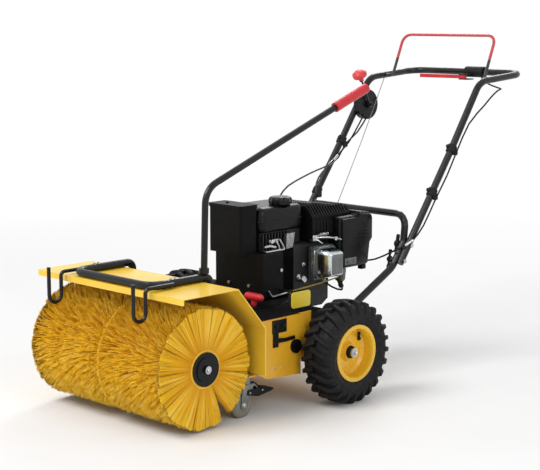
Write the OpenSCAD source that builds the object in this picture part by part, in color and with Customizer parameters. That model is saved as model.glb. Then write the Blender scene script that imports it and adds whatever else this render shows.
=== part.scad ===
// Walk-behind power brush sweeper: a swinging brush head in front, engine and drive in the middle, handle behind.
// Millimetres, +Z up, front towards -Y. Lengths below are measured from the drive axle; axle_y then
// moves everything so that the origin is on the floor under the middle of the machine.

/* [Wheels] */
// Outer diameter of a tyre over its lugs
tyre_d = 330; // [300:1:350]
// Width of a tyre
tyre_w = 115; // [95:1:120]
// Distance between the middles of the two tyres
track = 756; // [750:1:800]
// Outer diameter of the rim flange
rim_d = 182; // [170:1:200]
// Diameter of the drive axle
axle_d = 25; // [20:1:28]
// Height of a tyre lug over the carcass
lug_h = 12; // [8:1:13]
// Number of lugs in each of a tyre's two rows
lug_count = 22; // [16:1:24]

/* [Brush] */
// Outer diameter of the bristles
brush_d = 376; // [360:1:378]
// Length of the whole brush
brush_w = 610; // [560:1:640]
// Distance from the drive axle forward to the brush axis
brush_reach = 539; // [535:1:560]
// Height of the brush axis over the floor
brush_z = 190; // [190:1:196]
// Free length in the middle of the brush for the worm case
brush_gap = 56; // [50:1:70]
// Outer diameter of the backing that holds the bristles
backing_d = 110; // [104:1:120]
// Diameter of the drums under the backing
drum_d = 89.6; // [84:0.1:92]
// Diameter of the brush shaft
brush_shaft_d = 30; // [25:1:32]
// Diameter of the black end discs
end_disc_d = 103; // [90:1:106]
// Rows of tufts along each half of the brush
tuft_rows = 8; // [7:1:9]
// Tufts in each row
tufts_round = 24; // [22:1:26]

/* [Hood and head] */
// Length of the hood across the machine
hood_w = 688; // [660:1:720]
// Thickness of the hood sheet
hood_t = 3; // [2:0.5:4]
// Height of the hood's top face
hood_z = 422; // [415:1:440]
// Height of the hood's front lip
hood_lip = 19; // [12:1:30]
// Distance from the brush axis forward to the hood's front lip
hood_overhang = 119; // [110:1:130]
// Distance from the brush axis back to the rear edge of the hood's top
hood_top_back = 99; // [90:1:110]
// Distance from the brush axis back to the hood's upright rear plate
head_gap = 214; // [208:1:222]
// Height of the bend between the slanted and the upright plate
hood_bend_z = 287; // [275:1:292]
// Height of the hood's lower rear edge
hood_low_z = 137; // [134:1:145]
// Width of the head frame over its cheeks
head_w = 610; // [590:1:618]
// Thickness of the head frame's cheeks and plates
head_t = 3; // [2.5:0.5:4]
// Height of the head frame's top face
head_z = 298; // [296:1:300]
// Height of the cheeks' lower edge
cheek_low_z = 112; // [110:1:120]
// Distance from the axle forward to the pivot that the head swings on
pivot_reach = 130; // [125:1:140]
// Diameter of the two kingpins
kingpin_d = 24; // [18:1:28]
// Radius of a bolt hole in a cheek
bolt_hole_r = 4.5; // [3:0.1:5.5]
// Distance between the two bolt holes in a cheek
bolt_spacing = 33; // [26:1:40]
// How far the head swings to each side, in degrees
swing_angle = 15; // [10:1:15]

/* [Casters] */
// Diameter of a caster wheel
caster_d = 80; // [70:1:84]
// Width of a caster wheel
caster_w = 24; // [18:1:28]
// Distance of a caster's stem from the middle of the machine
caster_x = 268; // [255:1:275]
// How far the caster wheel trails its stem
caster_trail = 25; // [18:1:28]

/* [Chassis] */
// Width of the chassis over its side plates
chassis_w = 500; // [480:1:520]
// Thickness of the chassis plates
chassis_t = 4; // [3:0.5:5]
// Distance from the axle back to the chassis' rear edge
chassis_back = 160; // [140:1:180]
// Distance from the axle forward to the chassis' front edge
chassis_front = 42; // [38:1:44]
// Height of the chassis' deck
chassis_z = 243; // [238:1:246]
// Height of the chassis' lower face
chassis_low_z = 124; // [122:1:125]
// Width of the drive housing
housing_w = 224; // [200:1:240]
// Height of the top of the drive housing
housing_z = 455; // [450:1:456]
// Height of the engine's crankshaft
crank_z = 404; // [396:1:408]
// Height of the brush drive's shaft
shaft_z = 230; // [228:1:232]
// Diameter of the brush drive's shaft
shaft_d = 20; // [16:1:22]
// Radius of the two belt pulleys
pulley_r = 37.6; // [34:0.1:40]

/* [Handle] */
// Diameter of the handle tubes
tube_d = 25; // [22:1:28]
// Distance from the axle back to the middle of the handlebar's crossbar
handle_reach = 1120; // [1090:1:1150]
// Height of the middle of the handlebar's crossbar
handle_z = 1005; // [980:1:1030]
// Height of the bail's top bar over its pivots
bail_h = 154; // [140:1:165]
// Diameter of the bail's rod
bail_d = 11; // [9:1:13]
// Diameter of the swing lever's tube
lever_d = 21; // [18:1:24]
// Diameter of the swing lever's red grip
grip_d = 33; // [28:1:36]
// Diameter of the shift quadrant
quadrant_d = 112; // [100:1:118]
// Thickness of the shift quadrant
quadrant_t = 24; // [18:1:28]
// Diameter of a control cable
cable_d = 6; // [5:0.5:7]

/* [Hidden] */
$fn = 64;

yellow = [0.90, 0.66, 0.14];
straw = [0.88, 0.63, 0.10];
black = [0.07, 0.07, 0.08];
dark = [0.16, 0.16, 0.17];
grey = [0.55, 0.55, 0.56];
bright = [0.80, 0.80, 0.82];
red = [0.78, 0.12, 0.14];

// Running clearance of a shaft in its bore, and the gap kept between parts that pass each other
run = 0.05;
gap = 0.3;

// Distances from the drive axle forward to the hood's lip, its top's rear edge and its upright plate
hood_front = brush_reach + hood_overhang;
hood_back = brush_reach - hood_top_back;
head_front = brush_reach - head_gap;

// Origin of the machine: floor, middle of its length
tube_r = tube_d / 2;
hook_r = 6;
hook_leg = hood_front + 19;
hook_tip = hook_leg + 46;
axle_y = (max(brush_reach + brush_d / 2, hook_tip + hook_r) - (handle_reach + tube_r)) / 2;

// Heights and places that several parts share
axle_z = tyre_d / 2;
axle_r = axle_d / 2;
plate_z = head_z + 0.5;
plate_t = 5;
deck_z = plate_z + plate_t;
pivot_y = -pivot_reach;
kingpin_r = kingpin_d / 2;
shaft_r = shaft_d / 2;
housing_front = 102;
housing_back = 10;
pulley_y0 = -50;
pulley_y1 = -20;
engine_y0 = 62;
engine_y1 = 235;
caster_y = -head_front - 10;
tongue_w = 120;
tongue_t = 6.7;
lock_angle = -19.5;
lock_r = 159;
lock_pin_r = 5;
head_side = head_w / 2;
chassis_side = chassis_w / 2;

// Handle tubes: the lower frame seats inside the chassis plates, the handlebar outside the lower frame
lower_x = chassis_side - chassis_t - tube_r - run;
upper_x = lower_x + tube_d + 2 * run;
clamp_foot = [402, 364];
clamp_dir = [0.593, 0.805];
knob_at = clamp_foot + 92 * clamp_dir;
bolt_at = clamp_foot + 30 * clamp_dir;
bail_x = 215;
handle_end = [handle_reach, handle_z];
handle_knee = [850, 984];
bail_at = handle_knee + 0.3185 * (handle_end - handle_knee);
quadrant_at = [800, 884];
quadrant_x = -upper_x + tube_r;

// Collector bracket on the hood and the lever that stands on it
arm_x = 182;
arm_r = 12.5;
arm_z = hood_z + arm_r + 0.1;
hook_x = arm_x + arm_r + hook_r + 0.1;
lever_r = lever_d / 2;
lever_foot = [-hood_back + 12, arm_z + arm_r];
lever_bend = [-hood_back + 20, 702];
lever_end = [309, 976];
grip_len = 158;

// Routes of the control cables
clutch_route = [[75, handle_reach - 17, handle_z - 12], [120, handle_reach - 40, handle_z - 37],
    [190, handle_reach - 75, handle_z - 50], [255, handle_reach - 135, handle_z - 52], [280, 930, 950],
    [281, 892, 930], [280, 850, 900], [278, 763, 838], [278, 692, 740], [279, 640, 664], [278, 583, 592],
    [278, 515, 502], [275, 464, 458], [262, 432, 438], [232, 412, 420], [200, 402, 402], [165, 394, 386],
    [142, 389, 380], [134, 383, 379], [134, 376, 379]];
cable_x = quadrant_x + run + quadrant_t + cable_d / 2 + 0.1;
throttle_route = [[cable_x, 788, 836], [cable_x - 8, 745, 782], [-242.5, 694, 738], [-228, 640, 694],
    [-205, 560, 672], [-165, 450, 664], [-110, 320, 655], [-50, 180, 640], [-10, 100, 616], [0, 80, 590]];
shift_route = [[cable_x, 772, 846], [cable_x, 730, 795], [-217, 685, 748], [-212, 640, 720], [-190, 570, 690],
    [-150, 480, 668], [-90, 380, 650], [-30, 300, 630], [10, 258, 610], [20, 226, 584]];
brake_route = [[-248, 928, 986], [-165, 703, 764], [-82, 474, 552]];

function unit(v) = v / norm(v);
function right_normal(a, b) = let (d = unit(b - a)) [d[1], -d[0]];
function mitre(path, i) =
    let (last = len(path) - 1,
        before = right_normal(path[max(i - 1, 0)], path[max(i, 1)]),
        after = right_normal(path[min(i, last - 1)], path[min(i + 1, last)]))
    (before + after) / (1 + before * after);
// Outline of a bent sheet: the outer path, then the same path one thickness further in
function sheet_outline(path, t) =
    concat(path, [for (i = [len(path) - 1:-1:0]) path[i] + t * mitre(path, i)]);
// Points of a round bend of radius r at corner b
function bend(a, b, c, r, n) =
    let (u = unit(a - b), w = unit(c - b), inside = acos(u * w), turn = 180 - inside,
        centre = b + unit(u + w) * r / sin(inside / 2),
        from = b + u * r / tan(inside / 2) - centre,
        to = b + w * r / tan(inside / 2) - centre)
    [for (i = [0:n]) centre + (from * sin((1 - i / n) * turn) + to * sin(i / n * turn)) / sin(turn)];
function rounded(path, radii, n) =
    [path[0], for (i = [1:len(path) - 2]) each bend(path[i - 1], path[i], path[i + 1], radii[i - 1], n),
        path[len(path) - 1]];
// Points of a smooth curve through all the points of a route
function spline_at(p, i, t) =
    let (last = len(p) - 1, a = p[max(i - 1, 0)], b = p[i], c = p[i + 1], d = p[min(i + 2, last)])
    0.5 * (2 * b + (c - a) * t + (2 * a - 5 * b + 4 * c - d) * t * t + (3 * b - a - 3 * c + d) * t * t * t);
function in_plane(x, path) = [for (p = path) [x, p[0], p[1]]];
function mirrored(path) = [for (i = [len(path) - 1:-1:0]) [-path[i][0], path[i][1], path[i][2]]];
function tangent(path, i) = unit(path[min(i + 1, len(path) - 1)] - path[max(i - 1, 0)]);
function two_triangles(a, b, c, d) = [[a, b, c], [a, c, d]];

// A round bar of radius r swept along a path; aside is never along the path
module sweep(path, r, sides, aside) {
    last = len(path) - 1;
    points = [for (i = [0:last]) let (t = tangent(path, i), u = unit(cross(aside, t)), v = cross(t, u))
        for (k = [0:sides - 1]) path[i] + r * (cos(360 * k / sides) * u + sin(360 * k / sides) * v)];
    skin = [for (i = [0:last - 1]) for (k = [0:sides - 1]) let (m = (k + 1) % sides)
        each two_triangles(i * sides + k, (i + 1) * sides + k, (i + 1) * sides + m, i * sides + m)];
    ends = [[for (k = [0:sides - 1]) k], [for (k = [sides - 1:-1:0]) last * sides + k]];
    polyhedron(points, concat(skin, ends), convexity = 6);
}

module in_frame() translate([0, axle_y, 0]) children();
module both_sides() { children(); mirror([1, 0, 0]) children(); }
module box(lo, hi) translate(lo) cube(hi - lo);
module x_rod(r, x0, x1, y, z) translate([x0, y, z]) rotate([0, 90, 0]) cylinder(r = r, h = x1 - x0);
module y_rod(r, y0, y1, x, z) translate([x, y0, z]) rotate([-90, 0, 0]) cylinder(r = r, h = y1 - y0);
module z_rod(r, z0, z1, x, y) translate([x, y, z0]) cylinder(r = r, h = z1 - z0);
module prism_x(x0, x1) translate([x0, 0, 0]) rotate([90, 0, 90]) linear_extrude(x1 - x0) children();
module prism_y(y0, y1) translate([0, y1, 0]) rotate([90, 0, 0]) linear_extrude(y1 - y0) children();
module prism_z(z0, z1) translate([0, 0, z0]) linear_extrude(z1 - z0) children();
module round_rect(lo, hi, r) {
    translate([lo[0] + r, lo[1]]) square([hi[0] - lo[0] - 2 * r, hi[1] - lo[1]]);
    translate([lo[0], lo[1] + r]) square([hi[0] - lo[0], hi[1] - lo[1] - 2 * r]);
    for (x = [lo[0] + r, hi[0] - r], y = [lo[1] + r, hi[1] - r]) translate([x, y]) circle(r);
}

// Brush head

hood_path = [[-hood_front, hood_z - hood_lip], [-hood_front, hood_z], [-hood_back, hood_z],
    [-head_front, hood_bend_z], [-head_front, hood_low_z]];

module hood() color(yellow) in_frame() difference() {
    prism_x(-hood_w / 2, hood_w / 2) polygon(sheet_outline(hood_path, hood_t));
    y_rod(shaft_r + 4, -head_front - hood_t - 1, -head_front + 1, 0, shaft_z);
}

cheek_low_rear_z = cheek_low_z - 10;
// The lower front corner of each cheek is cut off
cheek_cut_y = -head_front + 42;
cheek_cut_z = cheek_low_z + 24;
// Behind the pivot only an ear of each cheek goes on, above the axle
cheek_back = pivot_y + 47;
ear_z = 205;
strip_z = chassis_low_z + tongue_t + gap;
strip_t = 5;
bracket_t = 4;
bracket_z = strip_z - bracket_t;
boss_r = kingpin_r + 10;
boss_h = 33;
cheek_y = -(head_front + pivot_reach) / 2;
bolt_y = cheek_y + 12.5;
bolt_z = 138;

module head_frame() color(yellow) in_frame() difference() {
    union() {
        both_sides() prism_x(head_side - head_t, head_side)
            polygon([[-head_front, cheek_cut_z], [-head_front, head_z], [cheek_back, head_z],
                [cheek_back, ear_z], [pivot_y, ear_z - 12], [pivot_y, cheek_low_rear_z],
                [cheek_cut_y, cheek_low_z]]);
        box([-head_side, -head_front, head_z - head_t], [head_side, pivot_y, head_z]);
        box([-head_side, -head_front, cheek_cut_z], [head_side, -head_front + head_t, head_z]);
        box([-caster_x - 28, -head_front, bracket_z], [caster_x + 28, -head_front + head_t, cheek_cut_z + 1]);
        box([-tongue_w / 2, pivot_y - 1, head_z - head_t], [tongue_w / 2, pivot_y + 26, head_z]);
        box([-tongue_w / 2, -head_front, strip_z], [tongue_w / 2, pivot_y + 26, strip_z + strip_t]);
        z_rod(boss_r, head_z - boss_h, head_z - 1, 0, pivot_y);
        z_rod(boss_r, strip_z + 1, strip_z + strip_t + 14, 0, pivot_y);
        both_sides() box([caster_x - 28, caster_y - 17, bracket_z], [caster_x + 28, -head_front + 30,
            bracket_z + bracket_t]);
        z_rod(lock_pin_r + 5, head_z - 22, head_z - 1, lock_x, lock_y);
    }
    z_rod(kingpin_r + run, chassis_low_z, plate_z + 1, 0, pivot_y);
    z_rod(lock_pin_r + run, head_z - 30, head_z + 1, lock_x, lock_y);
    y_rod(shaft_r + 4, -head_front - 1, -head_front + head_t + 1, 0, shaft_z);
    both_sides() z_rod(stem_r + run, bracket_z - 1, bracket_z + bracket_t + 1, caster_x, caster_y);
    for (y = [bolt_y, bolt_y - bolt_spacing]) x_rod(bolt_hole_r, -head_side - 1, head_side + 1, y, bolt_z);
}

worm_r = 14.5;
wheel_r = shaft_z - brush_z - worm_r - 0.5;
case_w = brush_gap / 2 - 2;
brush_shaft_r = brush_shaft_d / 2;
seat_y = -head_front - hood_t;

module worm_case() color(dark) in_frame() difference() {
    union() {
        x_rod(50, -case_w, case_w, -brush_reach, brush_z);
        y_rod(case_w - 2, -brush_reach - 50, seat_y, 0, shaft_z);
        y_rod(44, seat_y - 6, seat_y, 0, shaft_z);
    }
    x_rod(wheel_r + 3, 6 - case_w, case_w - 6, -brush_reach, brush_z);
    x_rod(brush_shaft_r + run, -case_w - 1, case_w + 1, -brush_reach, brush_z);
    y_rod(worm_r + 2, -brush_reach - 26, -brush_reach + 26, 0, shaft_z);
    y_rod(shaft_r + run, -brush_reach - 44, seat_y + 1, 0, shaft_z);
}

module worm_shaft() color(bright) in_frame() {
    y_rod(shaft_r, -brush_reach - 42, pivot_y - ball_r - 1, 0, shaft_z);
    y_rod(worm_r, -brush_reach - 22, -brush_reach + 22, 0, shaft_z);
}

module brush_shaft() color(dark) in_frame() {
    x_rod(brush_shaft_r, -brush_w / 2, brush_w / 2, -brush_reach, brush_z);
    x_rod(wheel_r, -12, 12, -brush_reach, brush_z);
    both_sides() x_rod(drum_d / 2, brush_gap / 2, brush_w / 2, -brush_reach, brush_z);
}

module brush_ends() color(black) in_frame() both_sides() {
    x_rod(end_disc_d / 2, brush_w / 2, brush_w / 2 + 4, -brush_reach, brush_z);
    x_rod(end_disc_d / 2 - 14, brush_w / 2 + 3, brush_w / 2 + 7, -brush_reach, brush_z);
    x_rod(11, brush_w / 2 + 6, brush_w / 2 + 13, -brush_reach, brush_z);
}

// One half of the brush: a ring of backing whose marked cells stand up as tufts
module bristle_roll(x0, x1) {
    cells_round = 2 * tufts_round;
    cells_long = 2 * tuft_rows;
    backing_r = backing_d / 2;
    inner_r = (drum_d / 2 + run) / cos(180 / cells_round);
    tip_r = brush_d / 2;
    step = 360 / cells_round;
    function ring(r, x) = [for (j = [0:cells_round - 1]) [x, r * cos(j * step), r * sin(j * step)]];
    function at_row(i) = x0 + (x1 - x0) * i / cells_long;
    function id(i, j) = i * cells_round + j % cells_round;
    function is_tuft(i, j) = i % 2 == 0 && (j + i / 2) % 2 == 0;
    marked = [for (i = [0:cells_long - 1], j = [0:cells_round - 1]) if (is_tuft(i, j)) [i, j]];
    inner = (cells_long + 1) * cells_round;
    tips = inner + 2 * cells_round;
    points = concat(
        [for (i = [0:cells_long]) each ring(backing_r, at_row(i))],
        ring(inner_r, x0), ring(inner_r, x1),
        [for (m = marked) each [for (c = [[0, 0], [1, 0], [1, 1], [0, 1]])
            [at_row(m[0] + c[0]), tip_r * cos((m[1] + c[1]) * step), tip_r * sin((m[1] + c[1]) * step)]]]);
    plain = [for (i = [0:cells_long - 1], j = [0:cells_round - 1]) if (!is_tuft(i, j))
        each two_triangles(id(i, j), id(i + 1, j), id(i + 1, j + 1), id(i, j + 1))];
    tufts = [for (k = [0:len(marked) - 1]) let (i = marked[k][0], j = marked[k][1], t = tips + 4 * k,
            foot = [id(i, j), id(i + 1, j), id(i + 1, j + 1), id(i, j + 1)])
        each concat(two_triangles(t, t + 1, t + 2, t + 3), [for (e = [0:3])
            each two_triangles(foot[e], foot[(e + 1) % 4], t + (e + 1) % 4, t + e)])];
    inside = [for (j = [0:cells_round - 1]) let (a = inner + j, b = inner + (j + 1) % cells_round)
        each two_triangles(a, b, b + cells_round, a + cells_round)];
    faces_at_ends = [for (j = [0:cells_round - 1]) let (a = inner + j, b = inner + (j + 1) % cells_round)
        each concat(two_triangles(id(0, j), id(0, j + 1), b, a),
            two_triangles(id(cells_long, j + 1), id(cells_long, j), a + cells_round, b + cells_round))];
    translate([0, -brush_reach, brush_z])
        polyhedron(points, concat(plain, tufts, inside, faces_at_ends), convexity = 10);
}

module bristles_left() color(straw) in_frame() bristle_roll(brush_gap / 2, brush_w / 2);
module bristles_right() color(straw) in_frame() bristle_roll(-brush_w / 2, -brush_gap / 2);

// Collector bracket: a tube frame on the hood with a hook on each arm

arm_end = [-hood_back + 35, hood_z - 26];
bar_y = -hood_front + 18;

module collector_frame() color(black) in_frame() {
    arm = [[arm_x, arm_end[0], arm_end[1]], [arm_x, arm_end[0], arm_z], [arm_x, bar_y, arm_z]];
    sweep(rounded(concat(arm, mirrored(arm)), [22, 45, 45, 22], 5), arm_r, 12, [0, 0.6, 0.8]);
}

module collector_hooks() color(black) in_frame() both_sides()
    sweep(rounded(in_plane(hook_x, [[-hook_leg + 110, arm_z], [-hook_leg, arm_z], [-hook_leg, arm_z - 92],
        [-hook_tip, arm_z - 92], [-hook_tip, arm_z + 20]]), [14, 22.9, 22.9], 5), hook_r, 10, [1, 0, 0]);

lever_dir = unit(lever_end - lever_bend);
grip_from = lever_end - grip_len * lever_dir;
lever_tilt = atan2(lever_dir[1], lever_dir[0]);

module swing_lever() color(black) in_frame() {
    sweep(rounded(in_plane(arm_x, [lever_foot, lever_bend, lever_end]), [70], 8), lever_r, 12, [1, 0, 0]);
    z_rod(lever_r + 5, lever_foot[1], lever_foot[1] + 16, arm_x, lever_foot[0]);
}

module lever_grip() color(red) in_frame() translate([arm_x, grip_from[0],
    grip_from[1]]) rotate([lever_tilt - 90, 0, 0])
    difference() {
        cylinder(d = grip_d, h = grip_len + 6);
        translate([0, 0, -1]) cylinder(r = lever_r + run, h = grip_len + 1 + run);
    }

// Latch, knob and lock pin on the head

latch_y = cheek_y - 17.5;
latch_z = 228;
latch_pin_r = 4;

module latch_bracket() color(black) in_frame() {
    box([head_side, latch_y - 14, latch_z + 22], [head_side + 3, latch_y + 48, latch_z + 63]);
    box([head_side, latch_y - 11, latch_z - 22], [head_side + 3, latch_y + 12, latch_z + 23]);
    x_rod(latch_pin_r, head_side, head_side + 8, latch_y, latch_z);
    for (y = [latch_y + 2, latch_y + 32]) x_rod(5, head_side, head_side + 7, y, latch_z + 43);
}

module latch_lever() color(black) in_frame() difference() {
    union() {
        x_rod(11, head_side + 3 + gap, head_side + 7, latch_y, latch_z);
        prism_x(head_side + 3 + gap, head_side + 7) polygon([[latch_y, latch_z - 8], [latch_y, latch_z + 8],
            [latch_y + 40, latch_z + 2], [latch_y + 82, latch_z + 4], [latch_y + 82, latch_z - 7],
            [latch_y + 40, latch_z - 9]]);
    }
    x_rod(latch_pin_r + run, head_side, head_side + 9, latch_y, latch_z);
}

knob_y = pivot_y - 26;
knob_z = 196;

module side_knob() color(black) in_frame() {
    x_rod(22, head_side + gap, head_side + 8, knob_y, knob_z);
    x_rod(16, head_side + 7, head_side + 11, knob_y, knob_z);
}

lock_x = lock_r * cos(lock_angle);
lock_y = pivot_y + lock_r * sin(lock_angle);
lock_top = 334;
lock_grip = 26;
lock_grip_r = 13;

module lock_pin() color(red) in_frame() {
    z_rod(lock_pin_r, head_z - 24, lock_top, lock_x, lock_y);
    x_rod(lock_grip_r, lock_x - lock_grip, lock_x + lock_grip, lock_y, lock_top);
    for (s = [-1, 1]) translate([lock_x + s * lock_grip, lock_y, lock_top]) sphere(lock_grip_r);
    z_rod(9, deck_z + 6, lock_top, lock_x, lock_y);
}

// Casters

stem_r = 8;
caster_wheel_y = caster_y - caster_trail;
caster_pin_r = 5;
fork_gap = caster_w / 2 + 2;
crown_z = caster_d + 16;
stem_top = hood_low_z - 1;

module caster_fork() {
    z_rod(stem_r, crown_z, stem_top, 0, caster_y);
    z_rod(stem_r + 6, crown_z, bracket_z - gap, 0, caster_y);
    z_rod(stem_r + 1.5, bracket_z + bracket_t + gap, stem_top, 0, caster_y);
    box([-fork_gap - 3, caster_wheel_y - 6, crown_z], [fork_gap + 3, caster_y + 20, crown_z + 6]);
    for (x = [-fork_gap - 3, fork_gap]) prism_x(x, x + 3) {
        polygon([[caster_wheel_y - 6, crown_z + 5], [caster_y + 18, crown_z + 5], [caster_wheel_y + 14,
            caster_d / 2 - 6],
            [caster_wheel_y - 12, caster_d / 2 - 6]]);
        translate([caster_wheel_y, caster_d / 2]) circle(13);
    }
    x_rod(caster_pin_r, -fork_gap - 5, fork_gap + 5, caster_wheel_y, caster_d / 2);
    prism_x(-12, 12) polygon([[caster_y + 12, crown_z], [caster_y + 12, crown_z + 6], [caster_y + 24,
        crown_z + 6],
        [caster_y + 43, crown_z - 12], [caster_y + 39, crown_z - 16], [caster_y + 22, crown_z]]);
}
module caster_wheel()
    translate([0, caster_wheel_y, caster_d / 2]) rotate([0, 90, 0]) rotate_extrude()
        polygon([[caster_pin_r + run, -caster_w / 2], [caster_d / 2 - 8, -caster_w / 2], [caster_d / 2,
            -caster_w / 2 + 5],
            [caster_d / 2, caster_w / 2 - 5], [caster_d / 2 - 8, caster_w / 2], [caster_pin_r + run,
            caster_w / 2]]);
module caster_fork_left() color(grey) in_frame() translate([caster_x, 0, 0]) caster_fork();
module caster_fork_right() color(grey) in_frame() translate([-caster_x, 0, 0]) caster_fork();
module caster_wheel_left() color(black) in_frame() translate([caster_x, 0, 0]) caster_wheel();
module caster_wheel_right() color(black) in_frame() translate([-caster_x, 0, 0]) caster_wheel();

// Chassis and drive

window_x = pulley_r + 14;

module belt_window(z0, z1) box([-window_x, pulley_y0 - 6, z0], [window_x, pulley_y1 + 6, z1]);

// Half width of the chassis' rear wall, which leaves room for the handle tubes
rear_wall = lower_x - tube_r - 6;
// The deck is full width up to the handle tubes; a hollow tower on it carries swing plate and engine
deck_back = 95;
tower_x = 90;
tower_back = 104;

module chassis() color(yellow) in_frame() difference() {
    union() {
        both_sides() box([chassis_side - chassis_t, -chassis_front, chassis_low_z],
            [chassis_side, chassis_back, chassis_z]);
        box([-chassis_side, -chassis_front, chassis_z - chassis_t], [chassis_side, deck_back, chassis_z]);
        box([-rear_wall, deck_back - 1, chassis_z - chassis_t], [rear_wall, chassis_back, chassis_z]);
        box([-rear_wall, chassis_back - chassis_t, chassis_low_z], [rear_wall, chassis_back, chassis_z]);
        box([-chassis_side, -chassis_front, chassis_low_z],
            [chassis_side, chassis_back, chassis_low_z + chassis_t]);
        box([-tongue_w / 2, pivot_y - 30, chassis_low_z], [tongue_w / 2, 0, chassis_low_z + tongue_t]);
        box([-tower_x, -chassis_front, chassis_z - chassis_t], [tower_x, tower_back, plate_z]);
    }
    box([chassis_t - tower_x, -chassis_front - 1, chassis_z - chassis_t - 1],
        [tower_x - chassis_t, tower_back - chassis_t, plate_z - chassis_t]);
    x_rod(axle_r + 4, -chassis_side - 1, chassis_side + 1, 0, axle_z);
    belt_window(plate_z - 20, plate_z + 1);
    z_rod(kingpin_r + run, chassis_low_z - 1, chassis_low_z + tongue_t + 1, 0, pivot_y);
}

module swing_plate() color(black) in_frame() difference() {
    z_rod(lock_r + 23, plate_z, deck_z, 0, pivot_y);
    z_rod(kingpin_r + run, plate_z - 1, deck_z + 1, 0, pivot_y);
    belt_window(plate_z - 1, deck_z + 1);
    translate([0, pivot_y, 0]) prism_z(plate_z - 1, deck_z + 1) arc_slot(lock_r, lock_pin_r + 0.6);
}
// Slot that the lock pin runs in while the head swings
module arc_slot(r, half) {
    from = lock_angle - swing_angle - 1;
    to = lock_angle + swing_angle + 1;
    intersection() {
        difference() {
            circle(r + half);
            circle(r - half);
        }
        polygon([[0, 0], 2 * r * [cos(from), sin(from)], 2 * r * [cos(to), sin(to)]]);
    }
    for (a = [from, to]) translate(r * [cos(a), sin(a)]) circle(half);
}

module kingpins() color(bright) in_frame() {
    z_rod(kingpin_r, head_z - boss_h - 4, deck_z + 6, 0, pivot_y);
    z_rod(kingpin_r + 8, deck_z, deck_z + 6, 0, pivot_y);
    z_rod(kingpin_r, chassis_low_z - 6, strip_z + strip_t + 16, 0, pivot_y);
    z_rod(kingpin_r + 8, chassis_low_z - 6, chassis_low_z, 0, pivot_y);
}

wall = 3;

module drive_housing() color(black) in_frame() difference() {
    prism_y(-housing_front, -housing_back) round_rect([-housing_w / 2, deck_z], [housing_w / 2, housing_z], 10);
    box([wall - housing_w / 2, wall - housing_front, deck_z - 1], [housing_w / 2 - wall,
        -housing_back - wall, housing_z - wall]);
    y_rod(shaft_r + 4, -housing_back - wall - 1, -housing_back + 1, 0, crank_z);
}

module racetrack(r) {
    translate([-r, shaft_z]) square([2 * r, crank_z - shaft_z]);
    for (z = [shaft_z, crank_z]) translate([0, z]) circle(r);
}
module belt() color(dark) in_frame() prism_y(pulley_y0 + 3, pulley_y1 - 3) difference() {
    racetrack(pulley_r + 6);
    racetrack(pulley_r + gap);
}

module engine_pulley() color(grey) in_frame() {
    y_rod(pulley_r, pulley_y0, pulley_y1, 0, crank_z);
    y_rod(shaft_r, pulley_y0 - 6, engine_y0 + 30, 0, crank_z);
}

ball_r = shaft_r + 1;

module input_shaft() color(grey) in_frame() {
    y_rod(pulley_r, pulley_y0, pulley_y1, 0, shaft_z);
    y_rod(shaft_r, pivot_y, gear_y0 + 30, 0, shaft_z);
    translate([0, pivot_y, shaft_z]) sphere(ball_r);
}

gear_y0 = 0;

module transmission() color(dark) in_frame() difference() {
    union() {
        prism_y(gear_y0, gear_y0 + 95) round_rect([-70, axle_z + 15], [70, plate_z - chassis_t], 12);
        x_rod(axle_r + 18, -36, 36, 0, axle_z);
    }
    y_rod(shaft_r + run, gear_y0 - 40, gear_y0 + 32, 0, shaft_z);
    x_rod(axle_r + run, -80, 80, 0, axle_z);
}

module axle_bearings() color(grey) in_frame() both_sides() difference() {
    union() {
        x_rod(axle_r + 20, chassis_side, chassis_side + 5, 0, axle_z);
        x_rod(axle_r + 10, chassis_side, chassis_side + 14, 0, axle_z);
    }
    x_rod(axle_r + run, chassis_side - 1, chassis_side + 15, 0, axle_z);
}

// Wheels

wheel_x = track / 2;
rim_r = rim_d / 2;
bead_r = rim_r - 7;
half_tyre = tyre_w / 2;
carcass_r = tyre_d / 2 - lug_h;
bead_x = half_tyre - 13.5;

module axle() color(bright) in_frame() {
    x_rod(axle_r, -wheel_x - 34, wheel_x + 34, 0, axle_z);
    both_sides() x_rod(axle_r + 3, wheel_x + 34, wheel_x + 39, 0, axle_z);
    both_sides() x_rod(9, wheel_x + 38, wheel_x + 45, 0, axle_z, $fn = 6);
}

module rim() rotate_extrude() polygon([[axle_r + run, -24], [axle_r + 14, -24], [axle_r + 14, -6],
    [rim_r - 26, -2],
    [rim_r - 15, -14], [rim_r - 15, -bead_x - 4], [rim_r, -bead_x - 4], [rim_r, -bead_x - gap], [bead_r,
    -bead_x - gap],
    [bead_r, bead_x + gap], [rim_r, bead_x + gap], [rim_r, bead_x + 4], [rim_r - 12, bead_x + 4],
    [rim_r - 15, bead_x - 4],
    [rim_r - 18, 14], [rim_r - 26, 6], [axle_r + 20, 6], [axle_r + 14, 14], [axle_r + 12, 20], [axle_r + run,
    20]]);

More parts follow.
